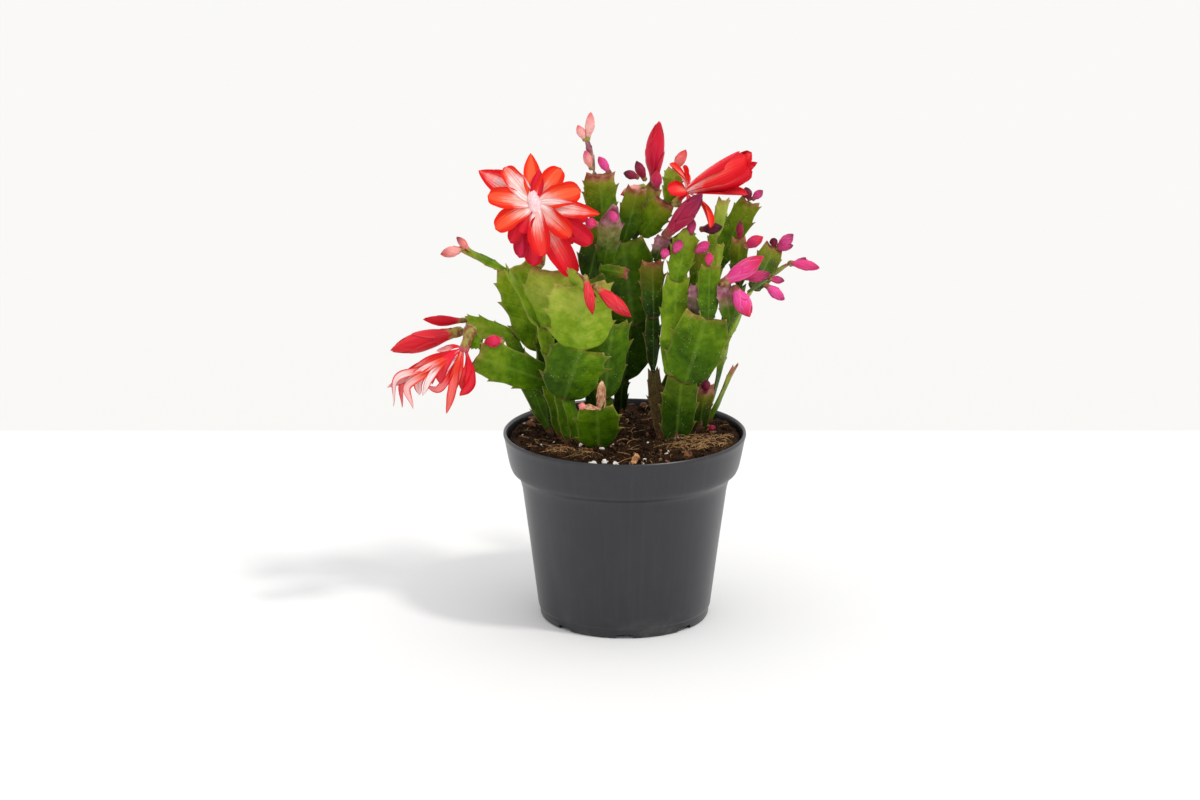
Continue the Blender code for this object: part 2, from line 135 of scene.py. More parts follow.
STEMS = (
    Stem("front_1", (-23, -16), 0,
         (Segment((-31, -19, 129), 8, 30, 0.42), Segment((-23, -21, 153), 33, 6, 0.39, 0.3, "", 5.0))),
    Stem("front_2", "front_1", 0, (Segment((-24, -24, 188), 36, 4, 0.84, 0.5, "leaf", 3.0),)),
    Stem("front_3", "front_2", 0.1, (Segment((-19, -32, 192), 20, 0, 0.92, 0.8, "dome", 7.0),)),
    Stem("low_1", (-14, -22), 0, (Segment((-15, -33, 124), 24, 4, 0.40, 0.4, "blade"),)),
    Stem("inner_1", (-7, -4), 0, (Segment((-11, -7, 125), 8, 30, 0.2), Segment((-7, -8, 163),
        24, 20, 0.42, 0.3, "", 4.0))),
    Stem("back_1", (-2, 42), 0, (Segment((-1, 28, 124), 9, 20, 0.1), Segment((3, 16, 163),
        30, 10, 0.16, 0.3, "", 3.0))),
    Stem("back_2", "back_1", 0, (Segment((-2, 10, 204), 31, 5, 0.38, 0.3, "", 9.0),)),
    Stem("back_3", "back_2", 0.1, (Segment((6, 3, 233), 14, 8, 0.45, 0.9, "", 3.0),)),
    Stem("back_4", "back_2", 0.95, (Segment((21, -4.5, 228), 15, -12, 0.55, 0.9, "", 3.0),)),
    Stem("back_5", "back_2", 0.45, (Segment((16, 25, 229), 12, 20, 0.3, 0.8),)),
    Stem("back_6", "back_4", 0.3, (Segment((26, 7, 242), 11, 20, 0.6, 0.8),)),
    Stem("left_1", (-34, -3), 0, (Segment((-42, -6, 132), 9, 40, 0.5), Segment((-78, -20, 149),
        22.5, -8, 0.50, 0.5, "", 4.0))),
    Stem("left_2", (-40, 8), 0, (Segment((-61, 16, 150), 10, 30, 0.4), Segment((-85, 14, 157),
        12, 35, 0.7))),
    Stem("left_3", "left_1", 0.7, (Segment((-82, -17, 157), 9, 5, 0.7, 0.3, "dome"),)),
    Stem("tall_1", (-30, -12), 0, (Segment((-36, -10, 128), 8, 40, 0.50), Segment((-44, -10, 162),
        9, 40, 0.62))),
    Stem("tall_2", "tall_1", -0.5, (Segment((-62, -21, 195), 8.5, 74, 0.62), Segment((-84, -26, 207),
        8, 72, 0.55, 0.8))),
    Stem("tall_3", "tall_1", 0.6, (Segment((-40, -4, 191), 26, 5, 0.82, 0.6, "", 4.0),)),
    Stem("side_1", (-38, 14), 0, (Segment((-45, 19, 144), 9, 50, 0.3), Segment((-59, 22, 187),
        28, 20, 0.62, 0.5, "", 4.0))),
    Stem("centre_1", (-15, 18), 0, (Segment((-18, 6, 144), 12, 20, 0.2), Segment((-19, 0, 187),
        21, 10, 0.28, 0.3, "", 4.0))),
    Stem("centre_2", "centre_1", 0,
         (Segment((-12, 3, 215), 18, 10, 0.25, 0.7, "", 3.0), Segment((-14, 4, 241),
             18, 6, 0.5, 1.15, "", 3.0))),
    Stem("centre_3", "centre_1", 0.9, (Segment((-6, -15, 226), 13, 0, 0.5, 1.45, "dome"),)),
    Stem("peak", "centre_2", -0.3, (Segment((-20, 2, 259), 3.4, 0, 0.7, 1.8),)),
    Stem("woody_1", (19, -8), 0, (Segment((15, -1, 135), 9, 30, 0.15, 0.3, "woody"),
        Segment((14.5, -3, 168), 9, 25, 0.12),
                                  Segment((13.5, -2, 195), 14, 15, 0.20, 0.9, "", 4.0))),
    Stem("woody_2", "woody_1", 0.5, (Segment((20, -9, 210), 9, 10, 0.3, 1.7),)),
    Stem("right_1", (27, -9), 0, (Segment((30, -14, 136), 20, 6, 0.30, 0.5),)),
    Stem("right_2", "right_1", 0.3, (Segment((42, -20, 170), 31, 4, 0.45, 0.45, "", 6.0),)),
    Stem("right_3", "right_1", -0.7, (Segment((27, -7, 188), 15, 10, 0.6, 0.4, "", 3.0),
        Segment((33, -6, 213), 15, 12, 0.7, 0.5, "dome", 3.0))),
    Stem("right_4", "right_2", 0.1, (Segment((44, -17, 196), 12.5, 4, 0.45, 0.5, "leaf", 3.0),)),
    Stem("right_5", "right_2", 0.9, (Segment((51.5, -19, 186), 10, 20, 0.5, 1.7, "leaf"),)),
    Stem("short_1", (40, 14), 0, (Segment((44, 10, 124), 11, 10, 0.25, 1.2),)),
    Stem("short_2", (44, 22), 0, (Segment((59, 18, 132), 9, 66, 0.6, 1.0),)),
    Stem("outer_1", (42, 32), 0, (Segment((54, 20, 142), 9, 68, 0.5), Segment((67, 12, 175), 8, 68, 0.75))),
    Stem("outer_2", "outer_1", 0.8, (Segment((80, 32, 195), 14, 0, 0.3, 0.8),)),
    Stem("outer_3", "outer_1", -0.8, (Segment((86, -8, 195), 9, 70, 0.55, 0.8),)),
    Stem("outer_4", (30, 40), 0, (Segment((52, 36, 142), 9, 40, 0.3), Segment((62, 28, 174), 10, 30, 0.4),
                                  Segment((61, 26, 201), 10, 0, 0.35, 0.8))),
    Stem("rear_1", (30, 26), 0, (Segment((39, 28, 139), 8, 30, 0.3), Segment((50, 32, 185), 9, 40, 0.7),
                                 Segment((67, 36, 219), 14, -10, 0.5, 0.7))),
    Stem("rear_2", (14, 40), 0, (Segment((34, 44, 140), 8, 20, 0.3), Segment((48, 50, 184), 9, 20, 0.8),
                                 Segment((54, 54, 216), 11, 40, 0.85, 0.6))),
    Stem("rear_3", "woody_1", 0.9, (Segment((36, 8, 209), 8, 20, 0.2, 2.0),)),
)

# Bud hues, for the body and the tip, run from 0, pale salmon, through coral, crimson, hot pink and
# magenta to 1, dark maroon
BUDS = (
    Bud("bud_tall_red", "back_5", 0, (18, 20, 266), 5.0, 0.44, 0.36),
    Bud("bud_magenta", "woody_2", 0.2, (40, -22, 236), 4.9, 0.80, 0.80),
    Bud("bud_orange", "back_6", 0, (32, 8, 253), 2.8, 0.22, 0.32),
    Bud("bud_right_long", "right_5", -0.3, (72, -24, 203), 4.6, 0.58, 0.36),
    Bud("bud_right_round", "right_5", 1.0, (65, -27, 171), 4.5, 0.63, 0.34),
    Bud("bud_left_long", "left_2", -0.9, (-125, 4, 145), 5.4, 0.38, 0.28),
    Bud("bud_left_short", "left_2", 0.4, (-108, 16, 159), 2.8, 0.42, 0.30),
    Bud("bud_far_left", "tall_2", 0, (-96, -29, 205), 2.8, 0.12, 0.40),
    Bud("bud_peak_long", "peak", 0.3, (-18, 3, 274), 2.5, 0.03, 0.10),
    Bud("bud_peak_short", "peak", -0.9, (-25, 3, 267), 2.2, 0.05, 0.12),
    Bud("bud_hanging_short", "front_3", -0.4, (-17, -42.5, 176), 2.7, 0.34, 0.40),
    Bud("bud_hanging_long", "front_3", 0.4, (3, -43, 175), 3.7, 0.35, 0.42),
    Bud("bud_far_right", "outer_3", 0, (102, -13, 194), 2.8, 0.55, 0.66),
)


class YoungBud(NamedTuple):
    """A small bud or a folded young tip, which has no solid of its own in the part."""

    name: str
    foot: tuple
    tip: tuple
    radius: float
    hue: float
    end: float


YOUNG_BUDS = (
    YoungBud("dry", (-20, -34.5, 124.2), (-24.6, -35, 125.6), 1.9, 0.15, 0.10),
    YoungBud("rear_dark", (67.5, 36, 219.5), (64.5, 36, 227), 2.6, 0.92, 0.98),
    YoungBud("rear_mauve", (68, 35, 220), (74, 35, 225.5), 2.2, 0.70, 0.84),
    YoungBud("outer_upright", (61.5, 26, 199), (61.5, 26, 211), 2.0, 0.82, 0.92),
    YoungBud("outer_coral", (63, 25, 196), (74, 24, 202.5), 3.0, 0.50, 0.34),
    YoungBud("outer_mauve", (81, 32, 193.5), (90.5, 31, 202.5), 3.0, 0.66, 0.78),
    YoungBud("outer_side", (81, 31, 194), (90.5, 30, 196.5), 2.2, 0.70, 0.84),
    YoungBud("outer_dark", (80, 32, 195), (80, 30, 200.5), 2.2, 0.90, 1.0),
    YoungBud("low_long", (60.5, -9, 188), (76.5, -8, 190), 3.0, 0.74, 0.80),
    YoungBud("low_small", (75, -7, 187), (84, -6, 185.5), 2.0, 0.72, 0.90),
    YoungBud("low_pink", (73, -8, 184.5), (84, -8, 175.5), 2.9, 0.64, 0.70),
    YoungBud("middle_magenta", (36, -10, 201.5), (44, -11, 207.5), 2.8, 0.68, 0.62),
    YoungBud("middle_mauve", (25, -12, 201.5), (29.5, -13, 209), 2.5, 0.66, 0.74),
    YoungBud("middle_pink", (20, -12, 198.5), (21.5, -14, 205), 2.3, 0.60, 0.66),
    YoungBud("round_top_pink", (43.5, -17, 195.5), (44, -17, 203.5), 2.2, 0.52, 0.56),
    YoungBud("middle_upright", (34.5, -7, 210), (35, -8, 220), 2.4, 0.74, 0.84),
    YoungBud("rear_maroon_tip", (39, 6, 210.5), (51.5, 5, 212), 3.0, 0.96, 1.0),
    YoungBud("peak_pink", (-17.5, 2, 243), (-21, 1, 254), 2.3, 0.10, 0.62),
    YoungBud("peak_side", (-8, 4, 241), (-14, 2, 250.5), 2.4, 0.64, 0.66),
    YoungBud("crown_dark", (7.5, 4, 238.5), (-1, 3, 241.5), 2.4, 0.90, 1.0),
    YoungBud("crown_dark_back", (11, 17, 234), (6, 18, 245), 2.6, 0.84, 0.96),
    YoungBud("crown_pale", (11, 12, 233), (-2.5, 11, 228), 2.6, 0.10, 0.26),
    YoungBud("mauve_young", (-4.5, -17, 218.5), (-8, -19, 226), 2.2, 0.66, 0.70),
    YoungBud("beside_bloom", (-14, -17, 218.5), (-21, -19, 220), 2.9, 0.50, 0.52),
    YoungBud("crown_magenta", (17, 14, 229.5), (16.5, 12, 241), 2.9, 0.50, 0.40),
    YoungBud("left_pink", (-63, -21, 157), (-74, -23, 156.5), 3.2, 0.46, 0.42),
    YoungBud("far_left_back", (-80.5, -26, 206), (-87.5, -27, 214), 2.0, 0.20, 0.84),
    YoungBud("short_maroon", (43.5, 10, 119.5), (43, 8, 128.5), 2.4, 0.92, 0.98),
    YoungBud("fallen", (44.5, 8.5, 99.5), (49, 8, 101.5), 1.8, 0.80, 0.86),
    YoungBud("far_right_pair", (86, -8, 194), (95, -10, 199), 1.6, 0.66, 0.88),
)

# Young segments without a solid of their own: name, foot, and the segment
SPRIGS = (
    ("olive", (-13.9, -16, 194.5), Segment((2, -18, 192), 6.6, 4, 0.42, 1.2, "leaf", 0.0)),
    ("stub", (36.5, -12, 168), Segment((37, -14, 186), 8, 10, 0.30, 1.76, "leaf", 0.0)),
    ("middle_back", (36, 3, 166), Segment((40, 2, 203), 9, 10, 0.32, 0.8, "leaf", 0.0)),
    ("middle_side", (45, 5, 174), Segment((50, 6, 204), 6, 10, 0.80, 0.4, "blade", 0.0)),
    ("left_back", (-41.7, 16, 122), Segment((-41, 9, 163), 13, 25, 0.30, 0.3, "blade", 0.0)),
    ("crown", (-19, 9, 222), Segment((-18.5, 10, 238), 6, 10, 0.85, 0.6, "leaf", 0.0)),
)


class Flower(NamedTuple):
    name: str
    grows_on: str
    fork: float
    bend: tuple
    throat: tuple
    axis: tuple
    tube_radius: float
    whorls: tuple


# Each petal: turn, spread, length, width, how far its pale foot reaches, its hue, and its curl back
OPEN_FLOWER = Flower(
    "flower_open", "tall_3", -0.4, (-46, 2, 216), (-47, -12, 228), (-0.12, -0.93, 0.35), 2.6,
    (
        ("outer_petals", (
            Petal(151, 88, 36, 13, 0.80, 0.30, 0.0, "broad"),
                Petal(141, 94, 30, 10, 0.55, 0.34, 0.0, "broad"),
            Petal(-32, 92, 37, 11.5, 0.04, 0.46, 0.20, "spoon"),
                Petal(-60, 96, 43, 13, 0.62, 0.40, 0.05, "spoon"),
            Petal(-91, 100, 32, 11, 0.24, 0.48), Petal(-107, 98, 29, 10, 0.30, 0.60),
            Petal(-122, 90, 24, 9, 0.05, 0.46), Petal(-45, 86, 29, 9, 0.04, 0.44, 0.2),
                Petal(-12, 100, 28, 8, 0.3, 0.4),
        )),
        ("inner_petals", (
            Petal(133, 80, 25.5, 10, 0.88, 0.08), Petal(97.5, 84, 27, 9.4, 0.08, 0.04, 0.0, "broad"),
            Petal(55, 78, 23.5, 11.5, 0.55, 0.08), Petal(17, 78, 26, 12.5, 0.55, 0.06),
            Petal(-8, 84, 35.5, 9.4, 0.80, 0.18, 0.05, "broad"), Petal(-39, 80, 27, 11, 0.68, 0.20),
            Petal(-77.5, 80, 29, 12, 0.64, 0.30), Petal(-144, 78, 25, 12, 0.60, 0.12),
                Petal(173, 78, 25.5, 11.5, 0.64, 0.10),
            Petal(82, 68, 19, 7, 0.02, 0.46, 0.0, "broad"), Petal(70, 74, 17, 6, 0.2, 0.42),
                Petal(-112, 76, 18, 8, 0.1, 0.46),
        )),
    ),
)
RIGHT_FLOWER = Flower(
    "flower_right", "back_4", 0.9, (27, -6, 230), (32.5, -6, 234), (0.90, -0.12, 0.38), 2.3,
    (
        ("petals", (
            Petal(90, 31, 34, 15, 0.14, 0.42, -0.30), Petal(140, 24, 38, 14, 0.40, 0.36, -0.20),
            Petal(40, 22, 40, 14, 0.40, 0.36, -0.16), Petal(195, 12, 38, 13, 0.30, 0.42, -0.06),
            Petal(-90, 24, 33, 12, 0.05, 0.42), Petal(0, 5, 41, 11, 0.2, 0.4),
                Petal(180, 6, 40, 11, 0.2, 0.4), Petal(-30, 15, 37, 12, 0.36, 0.40, -0.05),
            Petal(110, 10, 41, 13, 0.42, 0.34, -0.04), Petal(70, 12, 40, 12, 0.30, 0.42, -0.04),
            Petal(95, 96, 17, 10, 0.70, 0.22), Petal(150, 124, 12, 9, 0.20, 0.36),
                Petal(60, 78, 14, 9, 0.5, 0.30),
            Petal(-115, 66, 25, 9, 0.60, 0.20, 0.14), Petal(-140, 100, 12, 7, 0.10, 0.44),
        )),
    ),
)


class Ribbon(NamedTuple):
    """A limp petal of the fading flower: the points it runs through, and how it turns on the way."""

    points: tuple
    width: float
    pale: float
    hue: float
    turns: tuple = (0.0, 40.0)


LEFT_FLOWER = Flower("flower_left", "left_3", 0, (-82.7, -20, 156.5), (-85, -21.5, 151),
    (-0.72, -0.18, -0.67), 3.0, ())
LEFT_RIBBONS = (
    Ribbon(((-83.9, -20, 152), (-80.9, -21, 141), (-82.3, -22, 133.6), (-87.4, -23, 127.4)),
        6.6, 0.02, 0.44, (20, -30)),
    Ribbon(((-83.4, -18, 151), (-82.6, -20, 143), (-84.6, -22, 136.5), (-86.8, -23, 131)),
        5.6, 0.05, 0.36, (-30, 30)),
    Ribbon(((-85.7, -23, 152), (-89.1, -26, 142.2), (-92, -27, 129.7), (-93.9, -26, 118.6)),
        5.2, 0.15, 0.24, (10, -25)),
    Ribbon(((-85, -22, 152), (-86.7, -24, 143), (-88.9, -25, 136), (-90.2, -24, 130.5)),
        4.6, 0.35, 0.30, (-30, 20)),
    Ribbon(((-86.1, -22, 152.5), (-92.7, -26, 149), (-95.5, -28, 143.5), (-96.9, -28, 135.2)),
        8.4, 0.05, 0.44, (0, 35)),
    Ribbon(((-87.7, -23, 152), (-96.6, -28, 145), (-102.7, -31, 138.9), (-107.3, -31, 129.9)),
        4.6, 1.0, 0.22, (30, -30)),
    Ribbon(((-87.8, -21, 152), (-102.2, -26, 148.6), (-114, -28, 139.3), (-124.3, -28, 132.3)),
        5.2, 0.55, 0.34, (-25, 45)),
    Ribbon(((-87.8, -22, 151), (-107.2, -29, 143), (-119.5, -31, 138.3), (-122.3, -31, 123.8)),
        4.6, 0.90, 0.26, (0, 70)),
    Ribbon(((-87.2, -23, 151), (-104.9, -31, 141.5), (-114.9, -33, 134.8), (-111.8, -32, 122.3)),
        5.2, 0.66, 0.14, (20, -60)),
    Ribbon(((-86.6, -22, 151), (-92.2, -26, 138.7), (-97.9, -27, 132.6), (-104.3, -27, 133.5)),
        4.6, 0.30, 0.36, (40, -20)),
    Ribbon(((-85.9, -20, 153), (-90.2, -18, 152.8), (-94.8, -16, 150.8), (-99.4, -15, 149.2)),
        3.4, 0.60, 0.42, (50, 10)),
    Ribbon(((-87.9, -20, 150), (-105.9, -22, 145), (-116.5, -24, 134.7), (-117.1, -24, 120.7)),
        5.0, 0.20, 0.42, (-20, 60)),
    Ribbon(((-87.3, -20, 151), (-97.9, -22, 146.4), (-107.5, -24, 137), (-108.3, -24, 127.9)),
        5.6, 0.80, 0.30, (60, 0)),
    Ribbon(((-86, -18, 151), (-92, -13, 146), (-98, -9, 138), (-102, -8, 129)), 7.0, 0.10, 0.42, (60, 110)),
    Ribbon(((-85, -18, 151), (-86, -12, 142), (-88, -9, 133), (-90, -9, 124)), 7.0, 0.10, 0.40, (80, 120)),
    Ribbon(((-88, -22, 151), (-98, -28, 147), (-108, -30, 142), (-116, -30, 136)), 4.4, 1.0, 0.20, (35, 5)),
)

# ---------------------------------------------------------------------------------------------
# Shader maths and finishes


def operator(name, reflected=False):
    def apply(self, other):
        return self.finish.maths(name, *((other, self) if reflected else (self, other)))

    return apply


class Value:
    """A socket of a material, so that its maths reads as arithmetic."""

    def __init__(self, finish, socket):
        self.finish, self.socket = finish, socket

    __add__ = __radd__ = operator("ADD")
    __mul__ = __rmul__ = operator("MULTIPLY")
    __sub__, __rsub__ = operator("SUBTRACT"), operator("SUBTRACT", True)
    __truediv__ = operator("DIVIDE")

    def __abs__(self):
        return self.finish.maths("ABSOLUTE", self)


class Finish:
    """A material in the making: nodes are added from the pattern down to its shader."""

    def __init__(self, name):
        self.material = bpy.data.materials.new(name)
        self.material.use_nodes = True
        self.tree = self.material.node_tree
        self.shader = self.tree.nodes["Principled BSDF"]
        self.place = self.node("TexCoord", output="Object")

    def node(self, kind, settings=None, inputs=None, output=0):
        """Adds a node: its settings first, then the values or links of its sockets."""
        made = self.tree.nodes.new("ShaderNode" + kind)
        for key, value in (settings or {}).items():
            if key == "stops":
                ramp = made.color_ramp.elements
                while len(ramp) < len(value):
                    ramp.new(0.5)
                for stop, (position, shade) in zip(ramp, value):
                    stop.position, stop.color = position, (*shade, 1.0)
            else:
                setattr(made, key, value)
        for key, value in (inputs or {}).items():
            self.feed(made.inputs[key], value)
        return Value(self, made.outputs[output])

    def feed(self, socket, value):
        if isinstance(value, Value):
            self.tree.links.new(value.socket, socket)
        elif isinstance(value, tuple) and len(value) == 3 and socket.type == "RGBA":
            socket.default_value = (*value, 1.0)
        else:
            socket.default_value = value

    def maths(self, operation, *terms):
        return self.node("Math", {"operation": operation}, dict(enumerate(terms)))

    def rise(self, value, low, high):
        """0 below low, 1 above high, and a smooth rise between."""
        return self.node("MapRange", {"interpolation_type": "SMOOTHSTEP"},
                         {"Value": value, "From Min": low, "From Max": high})

    def blend(self, share, first, second):
        return self.node("Mix", {"data_type": "RGBA", "blend_type": "MIX"}, {0: share, 6: first,
            7: second}, 2)

    def ramp(self, value, *stops):
        return self.node("ValToRGB", {"stops": stops}, {"Fac": value}, "Color")

    def cloud(self, scale, detail=2.0, roughness=0.5, at=None):
        return self.node("TexNoise", {}, {"Vector": at or self.place, "Scale": scale, "Detail": detail,
                                          "Roughness": roughness}, "Fac")

    def cells(self, scale):
        return self.node("TexVoronoi", {"feature": "F1"}, {"Vector": self.place, "Scale": scale},
            "Distance")

    def marks(self, name):
        """The three numbers that a piece's points carry under a name."""
        return self.split(self.node("Attribute", {"attribute_name": name}, output="Vector"))

    def split(self, vector):
        """The three numbers of a vector."""
        outputs = self.node("SeparateXYZ", {}, {0: vector}).socket.node.outputs
        return [Value(self, outputs[k]) for k in range(3)]

    def stretched(self, *scales):
        """The place on the piece, scaled along each axis."""
        return self.node("VectorMath", {"operation": "MULTIPLY"}, {0: self.place, 1: scales})

    def point(self, x, y, z=0.0):
        return self.node("CombineXYZ", {}, {0: x, 1: y, 2: z})

    def bump(self, height, distance, strength=1.0):
        bumped = self.node("Bump", {}, {"Height": height, "Distance": distance, "Strength": strength},
            "Normal")
        self.feed(self.shader.inputs["Normal"], bumped)

    def set(self, **sockets):
        for name, value in sockets.items():
            self.feed(self.shader.inputs[name.replace("_", " ")], value)
        return self.material


def shade(code):
    """A colour from its six hexadecimal digits, as linear light."""
    parts = [int(code[i:i + 2], 16) / 255 for i in (0, 2, 4)]
    return tuple(c / 12.92 if c <= 0.04045 else ((c + 0.055) / 1.055) ** 2.4 for c in parts)


def cactus_skin():
    """Green skin: deep to yellow green by the segment's tone, with veins, pale specks and maroon tips."""
    skin = Finish("cactus_skin")
    across, along, edge = skin.marks("leaf")
    tone, blush, wood = skin.marks("look")
    side = abs(across)
    mottle = skin.cloud(260, 3.0, 0.6)
    broad = skin.cloud(70, 2.0)
    level = tone + (broad - 0.5) * 0.55 + (mottle - 0.5) * 0.50 + along * 0.26 - 0.14
    green = skin.ramp(level, (0.0, shade("142504")), (0.25, shade("2a4703")), (0.50, shade("4c7003")),
                      (0.75, shade("7c9a1c")), (1.0, shade("a9b548")))
    # Side veins climb from the midrib to the teeth
    climb = along * 7.0 - side * 1.3
    wave = skin.maths("SINE", climb * (2 * math.pi))
    veins = skin.rise(wave, 0.82, 1.0) * skin.rise(side, 0.06, 0.2) * (1 - skin.rise(side, 0.75, 0.95))
    # The midrib is painted a lighter green: a painted highlight along the raised rib.
    rib_highlight = 1 - skin.rise(side, 0.03, 0.13)
    green = skin.blend(rib_highlight * 0.14, green, shade("8fae48"))
    green = skin.blend(veins * 0.07, green, shade("2f4a0c"))
    specks = (1 - skin.rise(skin.cells(650), 0.10, 0.24)) * skin.rise(skin.cloud(120, 2.0), 0.48, 0.62)
    green = skin.blend(specks * 0.38, green, shade("c3cf9a"))
    rim = skin.rise(side, 0.88, 1.0)
    green = skin.blend(rim * 0.38, green, shade("8f8f45"))
    tip = skin.rise(along + (broad - 0.5) * 0.25 + blush * 0.22, 1.00, 1.20)
    warm = skin.rise(along + (broad - 0.5) * 0.3, 0.40, 0.95) * skin.rise(blush, 0.3, 1.0)
    green = skin.blend(warm * 0.5, green, shade("93881c"))
    upper = skin.maths("MAXIMUM", skin.rise(along, 0.25, 0.7), skin.rise(blush, 1.74, 1.78))
    red = skin.maths("MINIMUM", (tip * 0.85 + edge * 0.8 + skin.rise(side, 0.93, 1.0) * 0.25) * blush
                     + skin.rise(blush, 1.05, 1.9) * (0.55 + mottle * 0.5) * upper, 1.0)
    maroon = skin.blend(skin.rise(mottle, 0.3, 0.7), shade("7a3428"), shade("b07858"))
    mauve = skin.blend(skin.rise(mottle, 0.3, 0.7), shade("864654"), shade("b5868e"))
    maroon = skin.blend(skin.rise(blush, 1.1, 1.5), maroon, mauve)
    maroon = skin.blend(skin.rise(blush, 1.85, 2.0), maroon, shade("4c1626"))
    colour = skin.blend(red, green, maroon)
    dead = skin.rise(edge + (mottle - 0.5) * 0.6, 0.70, 0.95)
    colour = skin.blend(dead * 0.6, colour, shade("c09a68"))
    grain = skin.cloud(900, 4.0, 0.7)
    bark = skin.ramp(grain, (0.25, shade("2e1c12")), (0.5, shade("5d3d28")), (0.75, shade("8d6a4b")))
    neck = 1 - skin.rise(along, 0.015, 0.07)
    colour = skin.blend(skin.maths("MAXIMUM", wood, neck * 0.7), colour, bark)
    relief = (mottle * 0.5 + grain * 0.25 + specks * 0.35 - veins * 0.4 + wood * grain * 2.0)
    skin.bump(relief, 0.00035, 0.7)
    return skin.set(Base_Color=colour, Roughness=0.33 + mottle * 0.22 + wood * 0.3, Subsurface_Weight=0.05,
                    Subsurface_Scale=0.002, Subsurface_Radius=(0.6, 1.0, 0.2), Specular_IOR_Level=0.09)


def petal_skin():
    """Petals: white and veined at the foot, salmon in the middle, red along the margins and the tip."""
    skin = Finish("petal_skin")
    along, across, fleck = skin.marks("petal")
    pale, hue, glow = skin.marks("look")
    side = abs(across)
    cloud = skin.cloud(240, 2.0)
    fibre = skin.cloud(1.0, 2.0, 0.6, skin.point(across * 11.0 + fleck * 9.0, along * 1.6, fleck * 31.0))
    reach = along + side * side * 0.34 + (cloud - 0.5) * 0.22 + (fibre - 0.5) * 0.34
    middle = skin.ramp(hue, (0.0, shade("f66a3a")), (0.2, shade("f04a32")), (0.4, shade("ee2232")),
                       (0.6, shade("dc2850")), (0.8, shade("c02a72")), (1.0, shade("6a1630")))
    margin = skin.ramp(hue, (0.0, shade("e8280f")), (0.2, shade("dc140c")), (0.4, shade("d4081c")),
                       (0.6, shade("b00a2c")), (0.8, shade("930f48")), (1.0, shade("3d0a18")))
    foot = skin.blend(skin.rise(fibre, 0.50, 0.68), shade("fdeae8"), shade("f3a6a4"))
    red = skin.rise(along * 0.42 + side * 0.62 + (fibre - 0.5) * 0.6, 0.40, 0.86)
    colour = skin.blend(red, middle, margin)
    colour = skin.blend(1 - skin.rise(reach - pale, -0.22, 0.20), colour, foot)
    streak = (1 - skin.rise(side + (fibre - 0.5) * 0.6, 0.05, 0.62)) * (1 - skin.rise(along, 0.45, 0.92))
    colour = skin.blend(streak * 0.55 * skin.rise(pale, 0.02, 0.2), colour, shade("fba588"))
    faded = glow * skin.rise(along + (fibre - 0.5) * 0.3, 0.30, 0.55) * (1 - skin.rise(side, 0.55, 0.95))
    colour = skin.blend(faded, colour, foot)
    # A darker red line down the petal's pressed-in middle: painted shade in the crease.
    crease_shade = (1 - skin.rise(side, 0.02, 0.12)) * skin.rise(along, 0.1, 0.4)
    colour = skin.blend(crease_shade * 0.22, colour, shade("c8201c"))
    skin.bump(fibre * 1.0 + cloud * 0.4, 0.0003, 0.8)
    return skin.set(Base_Color=colour, Roughness=0.44 + fibre * 0.14, Subsurface_Weight=0.10,
                    Subsurface_Scale=0.002, Subsurface_Radius=(1.0, 0.3, 0.2), Specular_IOR_Level=0.12)


def bud_skin():
    """Buds: an olive ovary, folded petals with paler edges, and a deeper tip."""
    skin = Finish("bud_skin")
    along, across, fleck = skin.marks("petal")
    _, hue, end = skin.marks("look")
    side = abs(across)
    cloud = skin.cloud(420, 2.0)
    fibre = skin.cloud(1.0, 2.0, 0.6, skin.point(across * 7.0 + fleck * 9.0, along * 2.5, fleck * 31.0))
    body = skin.ramp(hue, (0.0, shade("f9b7b0")), (0.15, shade("f58d84")), (0.30, shade("e5343f")),
                     (0.42, shade("d40a24")), (0.62, shade("f0469a")), (0.80, shade("a81e40")),
                         (1.0, shade("451324")))
    deep = skin.ramp(end, (0.0, shade("ee7f80")), (0.15, shade("e2484e")), (0.30, shade("d3121f")),
                     (0.42, shade("a80418")), (0.62, shade("cc1c68")), (0.80, shade("741038")),
                         (1.0, shade("2c0a15")))
    light = skin.ramp(hue, (0.0, shade("fde0da")), (0.15, shade("fbc3bb")), (0.30, shade("f77c7c")),
                      (0.42, shade("e22c3c")), (0.62, shade("f990bd")), (0.80, shade("c4486c")),
                          (1.0, shade("7a4452")))
    colour = skin.blend(skin.rise(along + (fibre - 0.5) * 0.5, 0.45, 1.05), body, deep)
    colour = skin.blend(skin.rise(fibre, 0.45, 0.8) * 0.55, colour, light)
    colour = skin.blend(skin.rise(side, 0.70, 1.0) * 0.45, colour, light)
    olive = skin.blend(skin.rise(cloud + hue * 0.35 - 0.1, 0.4, 0.7), shade("9c9648"), shade("84483c"))
    colour = skin.blend(1 - skin.rise(along + (cloud - 0.5) * 0.10, 0.14, 0.27), colour, olive)
    skin.bump(fibre * 1.0 + cloud * 0.4, 0.00025, 0.8)
    return skin.set(Base_Color=colour, Roughness=0.40 + cloud * 0.14, Subsurface_Weight=0.08,
                    Subsurface_Scale=0.002, Subsurface_Radius=(1.0, 0.4, 0.3), Specular_IOR_Level=0.15)


